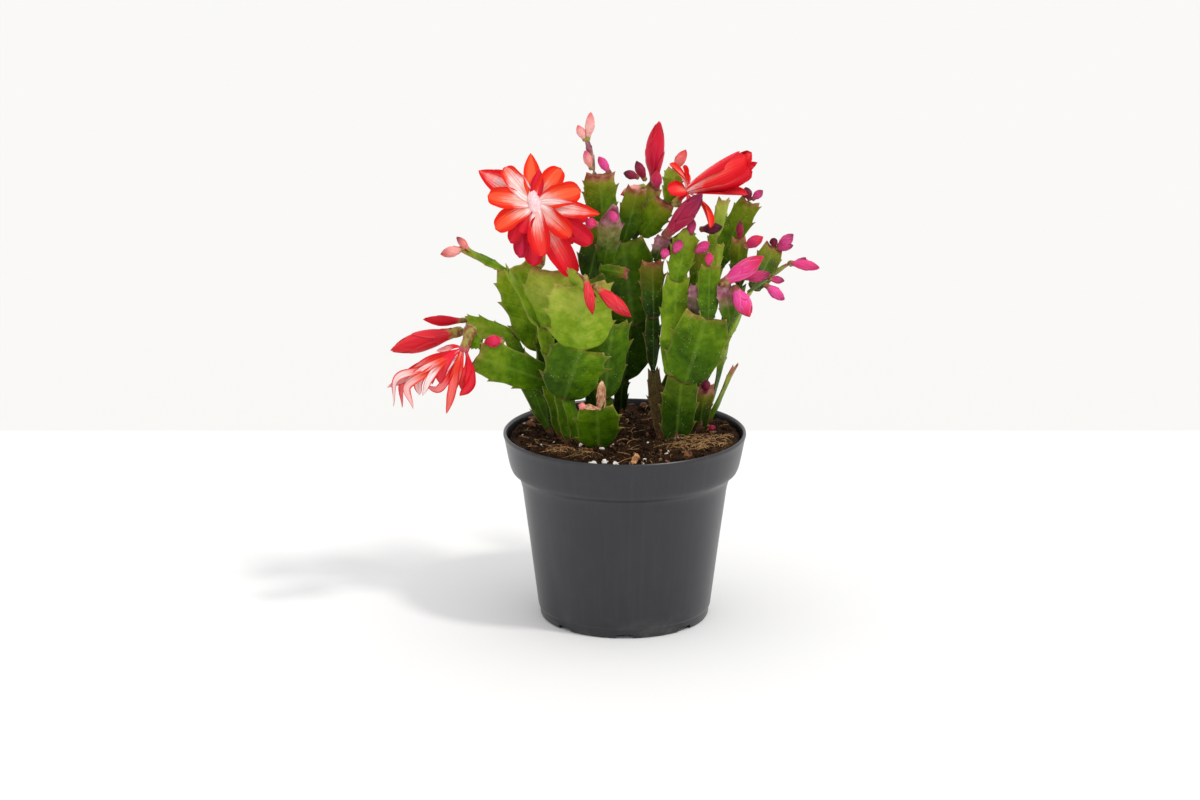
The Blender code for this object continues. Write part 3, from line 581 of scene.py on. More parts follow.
def pot_plastic():
    """Matte charcoal plastic, with faint upright streaks painted as reflections, dust and scuffs."""
    skin = Finish("pot_plastic")
    x, y, z = skin.split(skin.place)
    angle = skin.maths("ARCTAN2", y, x)
    reflection_streaks = skin.cloud(1.0, 3.0, 0.6, skin.point(angle * 22.0, z * 14.0, 0.0))
    grain = skin.cloud(2600, 2.0, 0.6)
    dust = skin.cloud(55, 4.0, 0.65)
    scuff = skin.rise(skin.cloud(1.0, 5.0, 0.75, skin.point(angle * 9.0, z * 190.0, 3.0)), 0.62, 0.78)
    colour = skin.blend(skin.rise(dust, 0.35, 0.75), shade("12131b"), shade("181a21"))
    # Lighter upright streaks: painted reflections on the plastic. The same pattern also gives a faint
    # relief.
    colour = skin.blend(skin.rise(reflection_streaks, 0.45, 0.75) * 0.12, colour, shade("3c3d44"))
    colour = skin.blend(scuff * 0.06, colour, shade("66676d"))
    low = 1 - skin.rise(z, 0.001, 0.014)
    colour = skin.blend(low * skin.rise(dust, 0.45, 0.7) * 0.30, colour, shade("6d655b"))
    skin.bump(grain * 0.5 + reflection_streaks * 0.25 + dust * 0.3, 0.0001, 0.6)
    return skin.set(Base_Color=colour, Roughness=0.28 + dust * 0.08 + grain * 0.06 + scuff * 0.08,
                    Specular_IOR_Level=0.6)


def compost_earth():
    """Moist peat: near black to mid brown, with paler threads."""
    skin = Finish("compost_earth")
    grain = skin.cloud(900, 5.0, 0.7)
    clod = skin.cloud(170, 3.0, 0.6)
    lump = skin.cells(520)
    colour = skin.ramp(grain * 0.7 + clod * 0.5 - 0.10, (0.25, shade("0d0704")), (0.45, shade("20130b")),
                       (0.60, shade("3d2817")), (0.75, shade("6b4c30")), (0.9, shade("9a7a55")))
    thread = skin.rise(skin.cloud(1.0, 2.0, 0.5, skin.stretched(1900.0, 240.0, 600.0)), 0.66, 0.74)
    colour = skin.blend(thread * 0.5, colour, shade("a07a50"))
    x, y, _ = skin.split(skin.place)
    matted = skin.ramp(grain * 0.75 + thread * 0.3, (0.30, shade("1c120a")), (0.48, shade("5d4529")),
        (0.72, shade("b59c70")))
    for cx, cy, wide, deep, high in CLODS:
        u, v = (x - cx * MM) / (wide * MM), (y - cy * MM) / (deep * MM)
        colour = skin.blend(1 - skin.rise(u * u + v * v + (clod - 0.5) * 2.0, 0.6, 1.2), colour, matted)
    skin.bump(grain * 0.8 + clod * 0.6 - lump * 0.7, 0.0012, 0.9)
    return skin.set(Base_Color=colour, Roughness=0.86 + grain * 0.12, Specular_IOR_Level=0.08)


def speckled(name, dark, light, size, roughness, relief=0.0006):
    """A rough natural bit of two tones, such as bark, fibre or perlite."""
    skin = Finish(name)
    grain = skin.cloud(size, 4.0, 0.65)
    streak = skin.cloud(1.0, 3.0, 0.6, skin.stretched(size * 1.6, size * 1.6, size * 0.25))
    colour = skin.blend(skin.rise(grain * 0.5 + streak * 0.5, 0.36, 0.64), shade(dark), shade(light))
    skin.bump(grain + streak, relief, 0.8)
    return skin.set(Base_Color=colour, Roughness=roughness + grain * 0.1, Specular_IOR_Level=0.3)


# ---------------------------------------------------------------------------------------------
# Making pieces


def let_go():
    bpy.ops.object.select_all(action="DESELECT")


def take(*pieces):
    let_go()
    for piece in pieces:
        piece.select_set(True)
    bpy.context.view_layer.objects.active = pieces[0]


def name_it(name):
    made = bpy.context.object
    made.name = made.data.name = name
    return made


def mark(piece, name, values):
    layer = piece.data.attributes.new(name, "FLOAT_VECTOR", "POINT")
    layer.data.foreach_set("vector", [number for value in values for number in value])


def shaped(name, around, levels, place):
    """A closed piece from a round blank: place(level, angle) gives each point and its marks."""
    let_go()
    bpy.ops.mesh.primitive_uv_sphere_add(segments=around, ring_count=levels, radius=1.0)
    made = name_it(name)
    marks = {}
    for point in made.data.vertices:
        x, y, z = point.co
        level = round(levels * math.acos(clamp(-z, -1.0, 1.0)) / math.pi)
        point.co, found = place(level, math.atan2(y, x))
        for key, value in found.items():
            marks.setdefault(key, []).append(value)
    for key, values in marks.items():
        mark(made, key, values)
    return made


def copied(name, blank, move, look=None):
    """A copy of a blank with its own mesh, whose points are moved by move(point)."""
    made = bpy.data.objects.new(name, blank.data.copy())
    bpy.context.scene.collection.objects.link(made)
    made.data.name = name
    for point in made.data.vertices:
        point.co = move(point.co)
    if look:
        mark(made, "look", [look] * len(made.data.vertices))
    return made


def joined(name, pieces):
    take(*pieces)
    if len(pieces) > 1:
        bpy.ops.object.join()
    return name_it(name)


def finished(piece, material, slot, *replaced, angle=40):
    """The last step for every piece: its finish, its body, and the node it stands for; the slot given is
    not used.
    """
    take(piece)
    bpy.ops.object.shade_smooth_by_angle(angle=math.radians(angle))
    piece.data.materials.clear()
    piece.data.materials.append(material)
    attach(piece, BODY)
    if replaced:
        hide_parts(*replaced)
    let_go()
    return piece


def drop(*pieces):
    for piece in pieces:
        bpy.data.objects.remove(piece, do_unlink=True)


def facing_axes(direction, facing):
    """The directions across and through a flat piece; at facing 0 its face looks to the front."""
    back = Vector((0.0, 1.0, 0.0))
    through = (back - direction * back.dot(direction)).normalized()
    through = Matrix.Rotation(math.radians(facing), 3, direction) @ through
    return through.cross(direction).normalized(), through


def straight(start, end):
    direction = (end - start).normalized()
    return lambda share: (start.lerp(end, share), direction)


def bent(start, middle, end):
    """A curve that leaves start towards middle and arrives at end from middle."""

    def at(share):
        point = start.lerp(middle, share).lerp(middle.lerp(end, share), share)
        return point, (middle - start).lerp(end - middle, share).normalized()

    return at


def through(points):
    """A curve that passes through all its points, given in millimetres."""
    spots = [mm(point) for point in points]
    spots = [spots[0] * 2 - spots[1]] + spots + [spots[-1] * 2 - spots[-2]]
    runs = len(points) - 1

    def at(share):
        number = min(runs - 1, int(clamp(share) * runs))
        s = clamp(share) * runs - number
        a, b, c, d = spots[number:number + 4]
        square, cube = a * 2 - b * 5 + c * 4 - d, b * 3 - a - c * 3 + d
        return (b + ((c - a) * s + square * s**2 + cube * s**3) * 0.5,
                (c - a + square * (2 * s) + cube * (3 * s * s)).normalized())

    return at


def rod(name, path, outline, radius, around=10, levels=14, look=(0.0, 0.0, 0.0), knobs=0.0, seed=0):
    """A round piece along a path, whose outline gives (share of length, share of radius)."""
    drift = Vector((seed * 3.1, seed * 1.7, 0.0))

    def place(level, angle):
        share = level / levels
        point, direction = path(share)
        across, through = facing_axes(direction, 0)
        out = across * math.cos(angle) + through * math.sin(angle)
        size = 0.0 if level in (0, levels) else through_points(outline, share) * radius
        rough = 1 + knobs * noise.noise((point + out * radius) * 700 + drift)
        return point + out * size * rough, {"petal": (share, math.cos(angle), seed % 1), "look": look,
                                            "leaf": (math.cos(angle), share, 0.0)}

    return shaped(name, around, levels, place)


# ---------------------------------------------------------------------------------------------
# The pot: turned, with eight drainage slots at its heel

POT_OUTSIDE = (
    (64.55, 99.2), (64.0, 96.5), (62.4, 88.0), (61.8, 85.2), (61.2, 83.2), (60.4, 81.4), (59.0, 80.2),
        (57.4, 78.6),
    (56.3, 76.6), (55.7, 74.6), (54.9, 71.5), (51.0, 42.0), (46.6, 6.6), (46.35, 5.6), (45.9, 5.2),
    (45.75, 4.6), (45.5, 1.2), (45.1, 0.35), (44.4, 0.0), (43.0, 0.25), (41.5, 1.0), (40.0, 1.2),
        (20.0, 1.2),
)
POT_INSIDE = (
    (30.0, 3.0), (41.5, 3.0), (43.8, 3.6), (44.4, 5.4), (49.4, 42.0), (53.3, 71.8), (54.2, 75.2),
    (55.2, 78.2), (57.0, 80.4), (58.6, 82.0), (59.6, 83.6), (60.3, 86.2), (62.0, 96.4), (62.75, 99.4),
)
RIM_ROUND = ((62.95, 100.6), (63.35, 101.45), (63.9, 101.85), (64.4, 101.8), (64.85, 101.35), (65.0, 100.6),
             (64.85, 99.9))
POT_STEPS = 144
SLOT_COUNT = 8


def make_pot():
    profile = [(0.0, 1.2), *reversed(POT_OUTSIDE), *reversed(RIM_ROUND), *reversed(POT_INSIDE), (0.0, 3.0)]

    def place(level, angle):
        radius, height = profile[level]
        return mm((radius * math.cos(angle), radius * math.sin(angle), height)), {}

    pot = shaped("grower_pot", POT_STEPS, len(profile) - 1, place)
    slots = []
    for k in range(SLOT_COUNT):
        let_go()
        bpy.ops.mesh.primitive_cube_add(size=1.0)
        slot = name_it(f"slot_tool_{k + 1}")
        turn = Matrix.Rotation(math.tau * (k / SLOT_COUNT - 0.25), 4, "Z")
        size = Matrix.Diagonal((*mm((10.0, 8.8, 4.4)), 1.0))
        slot.data.transform(turn @ Matrix.Translation(mm((46.5, 0, 0))) @ size)
        take(slot)
        bevel = slot.modifiers.new("rounding", "BEVEL")
        bevel.width, bevel.segments = 0.8 * MM, 3
        bpy.ops.object.modifier_apply(modifier=bevel.name)
        slots.append(slot)
    tool = joined("slot_tool", slots)
    take(pot)
    cut = pot.modifiers.new("slots", "BOOLEAN")
    cut.operation, cut.solver, cut.object = "DIFFERENCE", "EXACT", tool
    bpy.ops.object.modifier_apply(modifier=cut.name)
    drop(tool)
    finished(pot, POT_PLASTIC, "pot_plastic", "pot", angle=35)


# ---------------------------------------------------------------------------------------------
# The compost: a crumbly surface over the CAD mound, with what lies on it


def compost_height(radius):
    for (r0, z0), (r1, z1) in zip(COMPOST_MOUND, COMPOST_MOUND[1:]):
        if radius <= r1:
            return z0 + (z1 - z0) * (radius - r0) / (r1 - r0)
    return COMPOST_MOUND[-1][1]


CLODS = ((38, -21, 22, 15, 2.6), (-27, -37, 14, 7, 1.8))  # x, y, reach across and along, height


def crust(x, y):
    """The height of the crumbly surface, in millimetres."""
    radius = math.hypot(x, y)
    big = noise.noise(Vector((x * 0.055, y * 0.055, 4.0)))
    small = noise.fractal(Vector((x * 0.28, y * 0.28, 9.0)), 0.8, 2.1, 4)
    fine = noise.cell(Vector((x * 0.9, y * 0.9, 1.0)))
    lift = 0.5 + 1.1 * (0.5 + 0.5 * big) + 0.9 * small + 0.35 * fine
    edge = ease(radius, 60.5, 62.9)
    lift += 2.6 * ease(radius, 34, 58)
    for cx, cy, wide, deep, high in CLODS:
        lift += high * math.exp(-(((x - cx) / wide) ** 4 + ((y - cy) / deep) ** 4))
    return compost_height(radius) + max(0.15, lift) * (1 - edge) + 0.8 * edge


def make_crust():
    levels, around, reach = 96, 250, 62.9

    def place(level, angle):
        share = min(1.0, (levels - level) / (levels - 4))
        radius = reach * share if level > 3 else reach * level / 4
        x, y = radius * math.cos(angle), radius * math.sin(angle)
        height = crust(x, y) if level > 3 else 94.2
        return mm((x, y, height)), {}

    finished(shaped("compost_crust", around, levels, place), COMPOST_EARTH, "compost", angle=60)


def scatter(name, count, seed, sizes, material, flat=1.0, detail=1, reach=58.5, sink=0.3, where=None,
    rough=0.35):
    """Many small bits lying on the crust, joined into one piece."""
    rng = random.Random(seed)
    let_go()
    bpy.ops.mesh.primitive_ico_sphere_add(subdivisions=detail, radius=1.0)
    blank = name_it(name + "_blank")
    bits = []
    for number in range(count):
        if where:
            x, y = where[number % len(where)]
            x, y = x + rng.gauss(0, 1.5), y + rng.gauss(0, 1.5)
        else:
            radius = reach * math.sqrt(rng.random())
            angle = rng.uniform(0, math.tau)
            x, y = radius * math.cos(angle), radius * math.sin(angle)
        size = rng.uniform(*sizes) * 0.5
        turn = Matrix.Rotation(rng.uniform(0, math.tau), 3, Vector((rng.random(), rng.random(),
            rng.random())))
        stretch = Vector((rng.uniform(0.7, 1.35), rng.uniform(0.6, 1.1), rng.uniform(0.5, 0.9) * flat))
        drift = Vector((number * 2.3, seed, 0))
        centre = Vector((x, y, crust(x, y) + size * (0.5 - sink)))

        def move(point):
            bumpy = point * (1 + rough * noise.noise(point * 1.3 + drift))
            return (centre + turn @ (bumpy * stretch) * size) * MM

        bits.append(copied(f"{name}_{number}", blank, move))
    piece = joined(name, bits)
    drop(blank)
    return finished(piece, material, "compost", angle=30)


FIBRE_REACH = 59.0


def kept_inside(spot):
    """Draws a spot in, so that it stays within the pot."""
    away = Vector((spot.x, spot.y)).length
    if away > FIBRE_REACH:
        spot *= FIBRE_REACH / away


def make_fibres(name, count, seed, material, reach=57.0, where=None, length=(5.0, 16.0), radius=0.16):
    rng = random.Random(seed)
    bits = []
    for number in range(count):
        if where:
            x, y = where[number % len(where)]
            x, y = x + rng.gauss(0, 3.2), y + rng.gauss(0, 2.2)
        else:
            r, a = reach * math.sqrt(rng.random()), rng.uniform(0, math.tau)
            x, y = r * math.cos(a), r * math.sin(a)
        run, heading = rng.uniform(*length), rng.uniform(0, math.tau)
        step = Vector((math.cos(heading), math.sin(heading), 0)) * run / 2
        middle = Vector((x, y, 0))
        ends = [middle - step, middle + step]
        for end in ends:
            kept_inside(end)
            end.z = crust(end.x, end.y) + rng.uniform(0.0, 1.2)
        middle += Vector((-step.y, step.x, 0)) * rng.uniform(-0.8, 0.8)
        kept_inside(middle)
        middle.z = crust(middle.x, middle.y) + rng.uniform(0.6, 3.0)
        path = bent(ends[0] * MM, middle * MM, ends[1] * MM)
        bits.append(rod(f"{name}_{number}", path, ((0, 0.5), (0.1, 1.0), (0.9, 0.8), (1, 0.3)),
                        radius * rng.uniform(0.6, 1.5) * MM, 5, 7, seed=number))
    return finished(joined(name, bits), material, "compost", angle=60)


def make_ground():
    make_crust()
    scatter("compost_crumbs_fine", 900, 11, (0.9, 2.0), COMPOST_EARTH)
    scatter("compost_crumbs_coarse", 300, 12, (1.8, 3.8), COMPOST_EARTH)
    scatter("compost_crumbs_tan", 150, 13, (1.0, 2.6), PALE_PEAT)
    scatter("perlite", 22, 14, (1.0, 2.6), PERLITE, detail=2, rough=0.6)
    scatter("perlite_front", 11, 15, (1.4, 4.2), PERLITE, detail=2, rough=0.6,
            where=((-17, -56), (-5, -57.5), (8, -56), (-10, -54), (10, -52)))
    scatter("bark_chips", 34, 16, (2.5, 5.5), BARK, flat=0.45, detail=2, rough=0.6)
    make_fibres("peat_fibres", 90, 17, FIBRE)
    make_fibres("fibre_clod_right", 90, 18, FIBRE, length=(3, 9), radius=0.2,
                where=((42, -22), (30, -27), (54, -10), (48, -28), (34, -16), (40, -32)))
    make_fibres("fibre_clod_left", 40, 19, FIBRE, where=((-30, -38), (-20, -41), (-37, -33)), length=(3, 8))
    chip = rod("upright_chip", through(((3, -54, 96.5), (4.5, -53, 100), (6, -52, 104.5))),
               ((0, 0.8), (0.3, 1.0), (0.6, 0.8), (0.85, 0.9), (1, 0.5)),
                   1.7 * MM, 10, 16, knobs=0.9, seed=4)
    finished(chip, PALE_BARK, "compost", angle=30)


# ---------------------------------------------------------------------------------------------
# Stems: segments are copied from a few blanks and joined in chains

SEGMENT_END = 0.945
WOODY = 0.62
SLIM_SEGMENT = 9
SLIM_SHARE = 0.62
SEGMENT_AROUND = 28
SEGMENT_LEVELS = 60
SEGMENT_TIP_LEVELS = 6
SEGMENT_OUTLINES = {
    "leaf": ((0.0, 0.10), (0.025, 0.24), (0.07, 0.50), (0.14, 0.72), (0.24, 0.86), (0.36, 0.92),
        (0.50, 0.95),
             (0.68, 0.97), (0.86, 0.90), (1.0, 0.78)),
    "dome": ((0.0, 0.10), (0.025, 0.28), (0.07, 0.50), (0.14, 0.66), (0.24, 0.78), (0.36, 0.87),
        (0.50, 0.95),
             (0.68, 1.0), (0.86, 0.92), (1.0, 0.66)),
    "blade": ((0.0, 0.10), (0.05, 0.16), (0.11, 0.38), (0.20, 0.66), (0.32, 0.86), (0.50, 0.95),
        (0.68, 0.98),
              (0.86, 0.90), (1.0, 0.78)),
}
RIB_HALF_THICKNESS = 1.8
ROOT_DEPTH = 6.0
NECK_RADIUS = 1.3
JOINT_GAP = 0.8


def make_segment_blank(kind, number):
    """A segment of unit length and half width, with staggered teeth; its tip is hollowed or domed."""
    rng = random.Random(f"{kind} {number}")
    outline = SEGMENT_OUTLINES[kind]
    spots = ((0.36, 0.66, 0.88), (0.30, 0.53, 0.77), (0.42, 0.74))[number % 3]
    teeth = {side: [(spot + side * 0.035 + rng.uniform(-0.03, 0.03),
        rng.uniform(0.20, 0.32)) for spot in spots]
             for side in (-1, 1)}
    horns = {side: rng.uniform(0.8, 1.2) for side in (-1, 1)}
    body = SEGMENT_LEVELS - SEGMENT_TIP_LEVELS

    def top(across):
        ripple = 0.006 * math.cos(across * 9 + number)
        if kind == "dome":
            return 1.0 - 0.17 * abs(across) ** 2.2 + ripple * 2
        return 0.935 + 0.066 * abs(across) ** 2.6 * horns[1 if across >= 0 else -1] + ripple

    def place(level, angle):
        across, out = math.cos(angle), math.sin(angle)
        side = 1 if across >= 0 else -1
        along = min(1.0, level / body)
        shrink = 1.0 if level <= body else 1 - (level - body) / SEGMENT_TIP_LEVELS
        half = through_points(outline, along)
        tooth = hook = 0.0
        for spot, size in teeth[side]:
            before = (along - spot) / 0.15 + 1
            if 0 <= before <= 1:
                tooth = max(tooth, size * (0.30 * math.sin(before * math.pi / 2) + 0.70 * before**5))
                hook = max(hook, before**6)
            elif 0 < along - spot < 0.1:
                tooth = max(tooth, size * 0.20 * (1 - (along - spot) / 0.1))
        margin = abs(across) ** 6
        flank = ease(along, 0.02, 0.16)
        x = across * half + side * margin * (tooth - 0.07) * flank
        thick = 0.34 + 0.40 * (1 - across**2) + 0.26 * math.exp(-((across / 0.17) ** 2)) * (1 - 0.5 * along)
        thick *= 1 - 0.38 * ease(along, 0.70, 1.0)
        flat = math.copysign(thick * min(1.0, abs(out) / 0.34) ** 0.7, out)
        y = flat * flank + out * 0.72 * (1 - flank)
        z = along * (1 + (top(across) - 1) * ease(along, 0.55, 1.0)) + 0.055 * margin * hook * flank
        if level > body:
            x *= shrink
            y *= shrink
            z = top(across * shrink) + 0.010 * (1 - shrink**2)
        rim = ease(along, 0.90, 1.0) * (0.35 + 0.65 * abs(across * shrink) ** 3)
        return Vector((x, y, z)), {"leaf": (across * shrink, along, clamp(margin * hook + rim))}

    return shaped(f"segment_blank_{kind}_{number}", SEGMENT_AROUND, SEGMENT_LEVELS, place)


class Place(NamedTuple):
    """The last segment of a stem, which other pieces grow on."""

    base: Vector
    length: float
    direction: Vector
    across: Vector
    half_width: float

    def tip(self, fork):
        """A point just off the tip: fork runs from -1 at one horn to 1 at the other."""
        reach = abs(fork) * 0.86
        share = max(0.0, (reach - 0.42) / 0.44)
        height = SEGMENT_END + 0.005 * min(1.0, reach / 0.42) + 0.03 * share
        along = self.direction * (self.length * height + JOINT_GAP * MM)
        return self.base + along + self.across * (math.copysign(reach, fork) * self.half_width)

    def start(self, fork, end, radius):
        """Where a piece of that radius starts on the way to its end: further off when it turns back."""
        foot = self.tip(fork)
        direction = (end - foot).normalized()
        return foot + direction * radius * max(0.3, 1.2 - direction.dot(self.direction))


def lay_segment(name, blank, base, segment, rng, place):
    """A copy of a blank laid from base, with a slight bow, twist and wave of its own."""
    across, through = facing_axes(place.direction, segment.facing)
    half, direction = place.half_width, place.direction
    lap = segment.lap * MM
    length = place.length + lap
    base = base - direction * lap - through * (0.25 * lap if lap > 2.5 * MM else 0.0)
    twist = math.radians(rng.uniform(-9, 9))
    bow, sway = rng.uniform(-0.035, 0.035) * length, rng.uniform(-0.015, 0.015) * length
    ripple, phase = rng.uniform(0.4, 1.0) * MM, rng.uniform(0, math.tau)
    fold = rng.uniform(-0.12, 0.12) * half
    neck = 1.25 * MM / (0.10 * half)
    thick = RIB_HALF_THICKNESS * MM * (SLIM_SHARE if segment.width <= SLIM_SEGMENT else 1.0)

    def move(point):
        x, y, z = point
        slim = ease(z, 0.0, 0.10)
        x *= half * (neck * (1 - slim) + slim)
        turn = twist * (z - 0.5)
        flat = across * math.cos(turn) + through * math.sin(turn)
        out = through * math.cos(turn) - across * math.sin(turn)
        side = x / half
        arch = 4 * z * (1 - z)
        lift = bow * arch + (ripple * math.sin(z * 9 + phase + 1.5 * side) + fold) * side * side * slim
        return base + direction * (length * z) + flat * (x + sway * arch) + out * (y * thick + lift)

    return copied(name, blank, move, (segment.tone, segment.blush,
        WOODY if segment.kind == "woody" else 0.0))


def make_stem(stem, blanks, places, rng):
    rooted = not isinstance(stem.grows_on, str)
    if rooted:
        x, y = stem.grows_on
        base = mm((x, y, compost_height(math.hypot(x, y))))
    else:
        base = places[stem.grows_on].start(stem.fork, mm(stem.segments[0].tip), NECK_RADIUS * MM)
    parts = []
    for number, segment in enumerate(stem.segments):
        tip = mm(segment.tip)
        direction = (tip - base).normalized()
        across = facing_axes(direction, segment.facing)[0]
        place = Place(base, (tip - base).length / SEGMENT_END, direction, across, segment.width * MM / 2)
        own_kind = "blade" if segment.kind == "woody" else segment.kind
        kind = own_kind or ("blade" if segment.width <= 10 else "leaf")
        blank = blanks[kind][rng.randrange(len(blanks[kind]))]
        parts.append(lay_segment(f"{stem.name}_{number + 1}", blank, base, segment, rng, place))
        if rooted and number == 0:
            path = straight(base - direction * 5.0 * MM, base + direction * 8.0 * MM)
            outline = ((0, 0.9), (0.3, 1.1), (0.5, 1.0), (0.75, 0.72), (1, 0.5))
            parts.append(rod(f"{stem.name}_collar", path, outline, 2.1 * MM, 14, 16, (0.2, 0.3, 1.0), 0.35,
                             rng.randrange(50)))
        base = place.base + place.direction * place.length * SEGMENT_END
    places[stem.name] = place
    return finished(joined(f"{stem.name}_skin", parts),
        CACTUS_SKIN, "stem_green", f"stem_{stem.name}", angle=50)


# ---------------------------------------------------------------------------------------------
# Buds: a core with petals folded round it

BUD_LEVELS = 22
FOLD_LEVELS = 16
BUD_OUTLINE = ((0.0, 0.30), (0.04, 0.44), (0.11, 0.56), (0.18, 0.50), (0.25, 0.54), (0.42, 0.84),
    (0.60, 0.94),
               (0.78, 0.74), (0.91, 0.38), (1.0, 0.10))
BUD_FOLDS = (  # (turn, half width in degrees, from, to, lift)
    (0, 78, 0.20, 0.985, 0.02), (140, 74, 0.20, 0.96, 0.03), (245, 72, 0.19, 0.93, 0.04),
    (60, 60, 0.18, 0.80, 0.065), (190, 56, 0.17, 0.70, 0.085), (310, 50, 0.165, 0.60, 0.10),
    (110, 42, 0.16, 0.44, 0.12), (260, 38, 0.155, 0.34, 0.13),
)


def make_bud_blank():
    def core(level, angle):
        share = level / BUD_LEVELS
        size = 0.0 if level in (0, BUD_LEVELS) else through_points(BUD_OUTLINE, share)
        return (Vector((size * math.cos(angle), size * math.sin(angle), share)),
                {"petal": (share, math.sin(angle * 5) * 0.6, 0.1)})

    parts = [shaped("bud_core", 20, BUD_LEVELS, core)]
    for number, (turn, spread, low, high, lift) in enumerate(BUD_FOLDS):

        def fold(level, angle):
            share = level / FOLD_LEVELS
            across, out = math.cos(angle), math.sin(angle)
            height = low + (high - low) * share
            lean = math.radians(turn) + 0.5 * share
            taper = math.sin(math.pi * (0.14 + 0.86 * share)) ** 0.7 if share < 1 else 0.0
            width = math.radians(spread) * taper
            if level in (0, FOLD_LEVELS):
                width, out = 0.0, 0.0
            size = through_points(BUD_OUTLINE,
                height) * (1 + lift * 0.7) + lift * 0.35 * share + 0.035 * out
            size += 0.05 * share * abs(across) ** 3
            round_by = lean - across * width
            return (Vector((size * math.cos(round_by), size * math.sin(round_by), height + 0.012 * out)),
                    {"petal": (height, across, (number * 0.37) % 1)})

        parts.append(shaped(f"bud_fold_{number}", 12, FOLD_LEVELS, fold))
    return joined("bud_blank", parts)


def lay_bud(name, blank, base, tip, radius, hue, end, roll=0.0, bow=0.06):
    """A copy of the bud blank from base to tip, slightly bent."""
    direction = (tip - base).normalized()
    across, through = facing_axes(direction, math.degrees(roll))
    length = (tip - base).length

    def move(point):
        x, y, z = point
        bend = bow * length * math.sin(z * math.pi) * 0.5
        return base + direction * (z * length) + across * (x * radius + bend) + through * y * radius

    return copied(name, blank, move, (0.5, hue, end))


# ---------------------------------------------------------------------------------------------
# Flowers

PETAL_LEVELS = 34
PETAL_AROUND = 22
PETAL_OUTLINES = {
    "spoon": ((0.0, 0.22), (0.12, 0.30), (0.30, 0.50), (0.50, 0.82), (0.70, 1.0), (0.86, 0.96),
        (0.95, 0.74), (1.0, 0.26)),
    "broad": ((0.0, 0.20), (0.10, 0.32), (0.30, 0.62), (0.52, 0.94), (0.68, 1.0), (0.84, 0.78),
        (0.94, 0.40), (1.0, 0.06)),
    "narrow": ((0.0, 0.22), (0.12, 0.42), (0.35, 0.82), (0.55, 1.0), (0.75, 0.84), (0.90, 0.48),
        (1.0, 0.06)),
}


def make_petal_blank(kind):
    outline = PETAL_OUTLINES[kind]

    def place(level, angle):
        share = level / PETAL_LEVELS
        across, out = math.cos(angle), math.sin(angle)
        half = through_points(outline, share)
        if level in (0, PETAL_LEVELS):
            half, out = 0.0, 0.0
        thin = 0.35 + 0.65 * (1 - abs(across) ** 3) * (1 - 0.5 * share)
        y = out * thin - 0.5 * math.exp(-((across / 0.16) ** 2)) * math.sin(math.pi * share)
        return Vector((across * half, y, share)), {"petal": (share, across, 0.0)}

    return shaped(f"petal_blank_{kind}", PETAL_AROUND, PETAL_LEVELS, place)


def lay_petal(name, blank, path, across_at, half_width, look, rng, cup=0.25, curl=0.0, thick=0.4,
    crumple=0.0):
    """A copy of a petal blank along a path, cupped, rippled and curled back at its tip."""
    sway, swing = rng.uniform(-1, 1) * crumple, rng.uniform(4, 7)
    ripple, phase = rng.uniform(0.04, 0.13), rng.uniform(0, math.tau)
    turns = rng.uniform(5, 8)
    length = (path(1.0)[0] - path(0.0)[0]).length
    fleck = rng.random()

    def move(point):
        x, y, z = point
        centre, direction = path(clamp(z))
        across = across_at(direction, z)
        inner = direction.cross(across)
        wave = math.sin(turns * z + phase + 2.5 * x) * abs(x) ** 1.5
        lift = cup * x * x * half_width + ripple * half_width * wave
        lift -= curl * length * z**3
        lift += crumple * length * 0.10 * z * math.sin(swing * z + phase)
        side = sway * length * 0.16 * z * math.sin(swing * 0.8 * z)
        roll = crumple * 1.6 * z * x
        reach = x * half_width * (math.cos(roll) if crumple else 1.0)
        reach *= 1 + 0.07 * math.sin(19 * z + phase + 3 * x) * abs(x) ** 3 * z
        lift += abs(x) * half_width * math.sin(abs(roll)) * 0.8
        return centre + across * (reach + side) + inner * (y * thick * MM + lift)

    made = copied(name, blank, move, look)
    for item in made.data.attributes["petal"].data:
        s, t, _ = item.vector
        item.vector = (s, t, fleck)
    return made


class Bloom(NamedTuple):
    """The axes of a flower and where its petals start."""

    throat: Vector
    axis: Vector
    right: Vector
    up: Vector

    def outwards(self, turn):
        return self.right * math.cos(turn) + self.up * math.sin(turn)


def bloom_of(flower):
    """The flower's axes and throat."""
    axis = Vector(flower.axis).normalized()
    up = (Vector((0.0, 0.0, 1.0)) - axis * axis.z).normalized()
    return Bloom(mm(flower.throat), axis, up.cross(axis), up)


PETAL_LEAN = 7.0


def make_petals(flower, bloom, whorl, petals, depth, blanks, rng, cup):
    """One whorl of petals, which leave the tube along its axis and bend out to their spread."""
    parts = []
    for number, petal in enumerate(petals):
        turn, spread = math.radians(petal.turn), math.radians(petal.spread)
        outwards = bloom.outwards(turn)
        length = petal.length * MM
        foot = bloom.throat - bloom.axis * depth * MM
        start = foot + outwards * 0.8 * MM
        middle = foot + bloom.axis * (length * 0.28) + outwards * (length * 0.12)
        tip = foot + bloom.axis * (length * math.cos(spread)) + outwards * (length * math.sin(spread))
        tangent = bloom.axis.cross(outwards).normalized()
        tilt = math.radians(PETAL_LEAN + rng.uniform(-8, 8))

        def across_at(direction, share, tangent=tangent, tilt=tilt):
            across = Matrix.Rotation(tilt, 3, direction) @ tangent
            return (across - direction * across.dot(direction)).normalized()

        stout = petal.width / petal.length
        kind = petal.kind or ("spoon" if stout > 0.28 else "broad" if stout > 0.26 else "narrow")
        parts.append(lay_petal(f"{flower.name}_{whorl}_{number}", blanks[kind], bent(start, middle, tip),
            across_at,
                               petal.width * MM / 2, (petal.pale, petal.hue, 0.0), rng, cup, petal.curl))
    return finished(joined(f"{flower.name}_{whorl}_set", parts), PETAL_SKIN, "petal_red",
                    f"{flower.name}_{whorl}", angle=60)


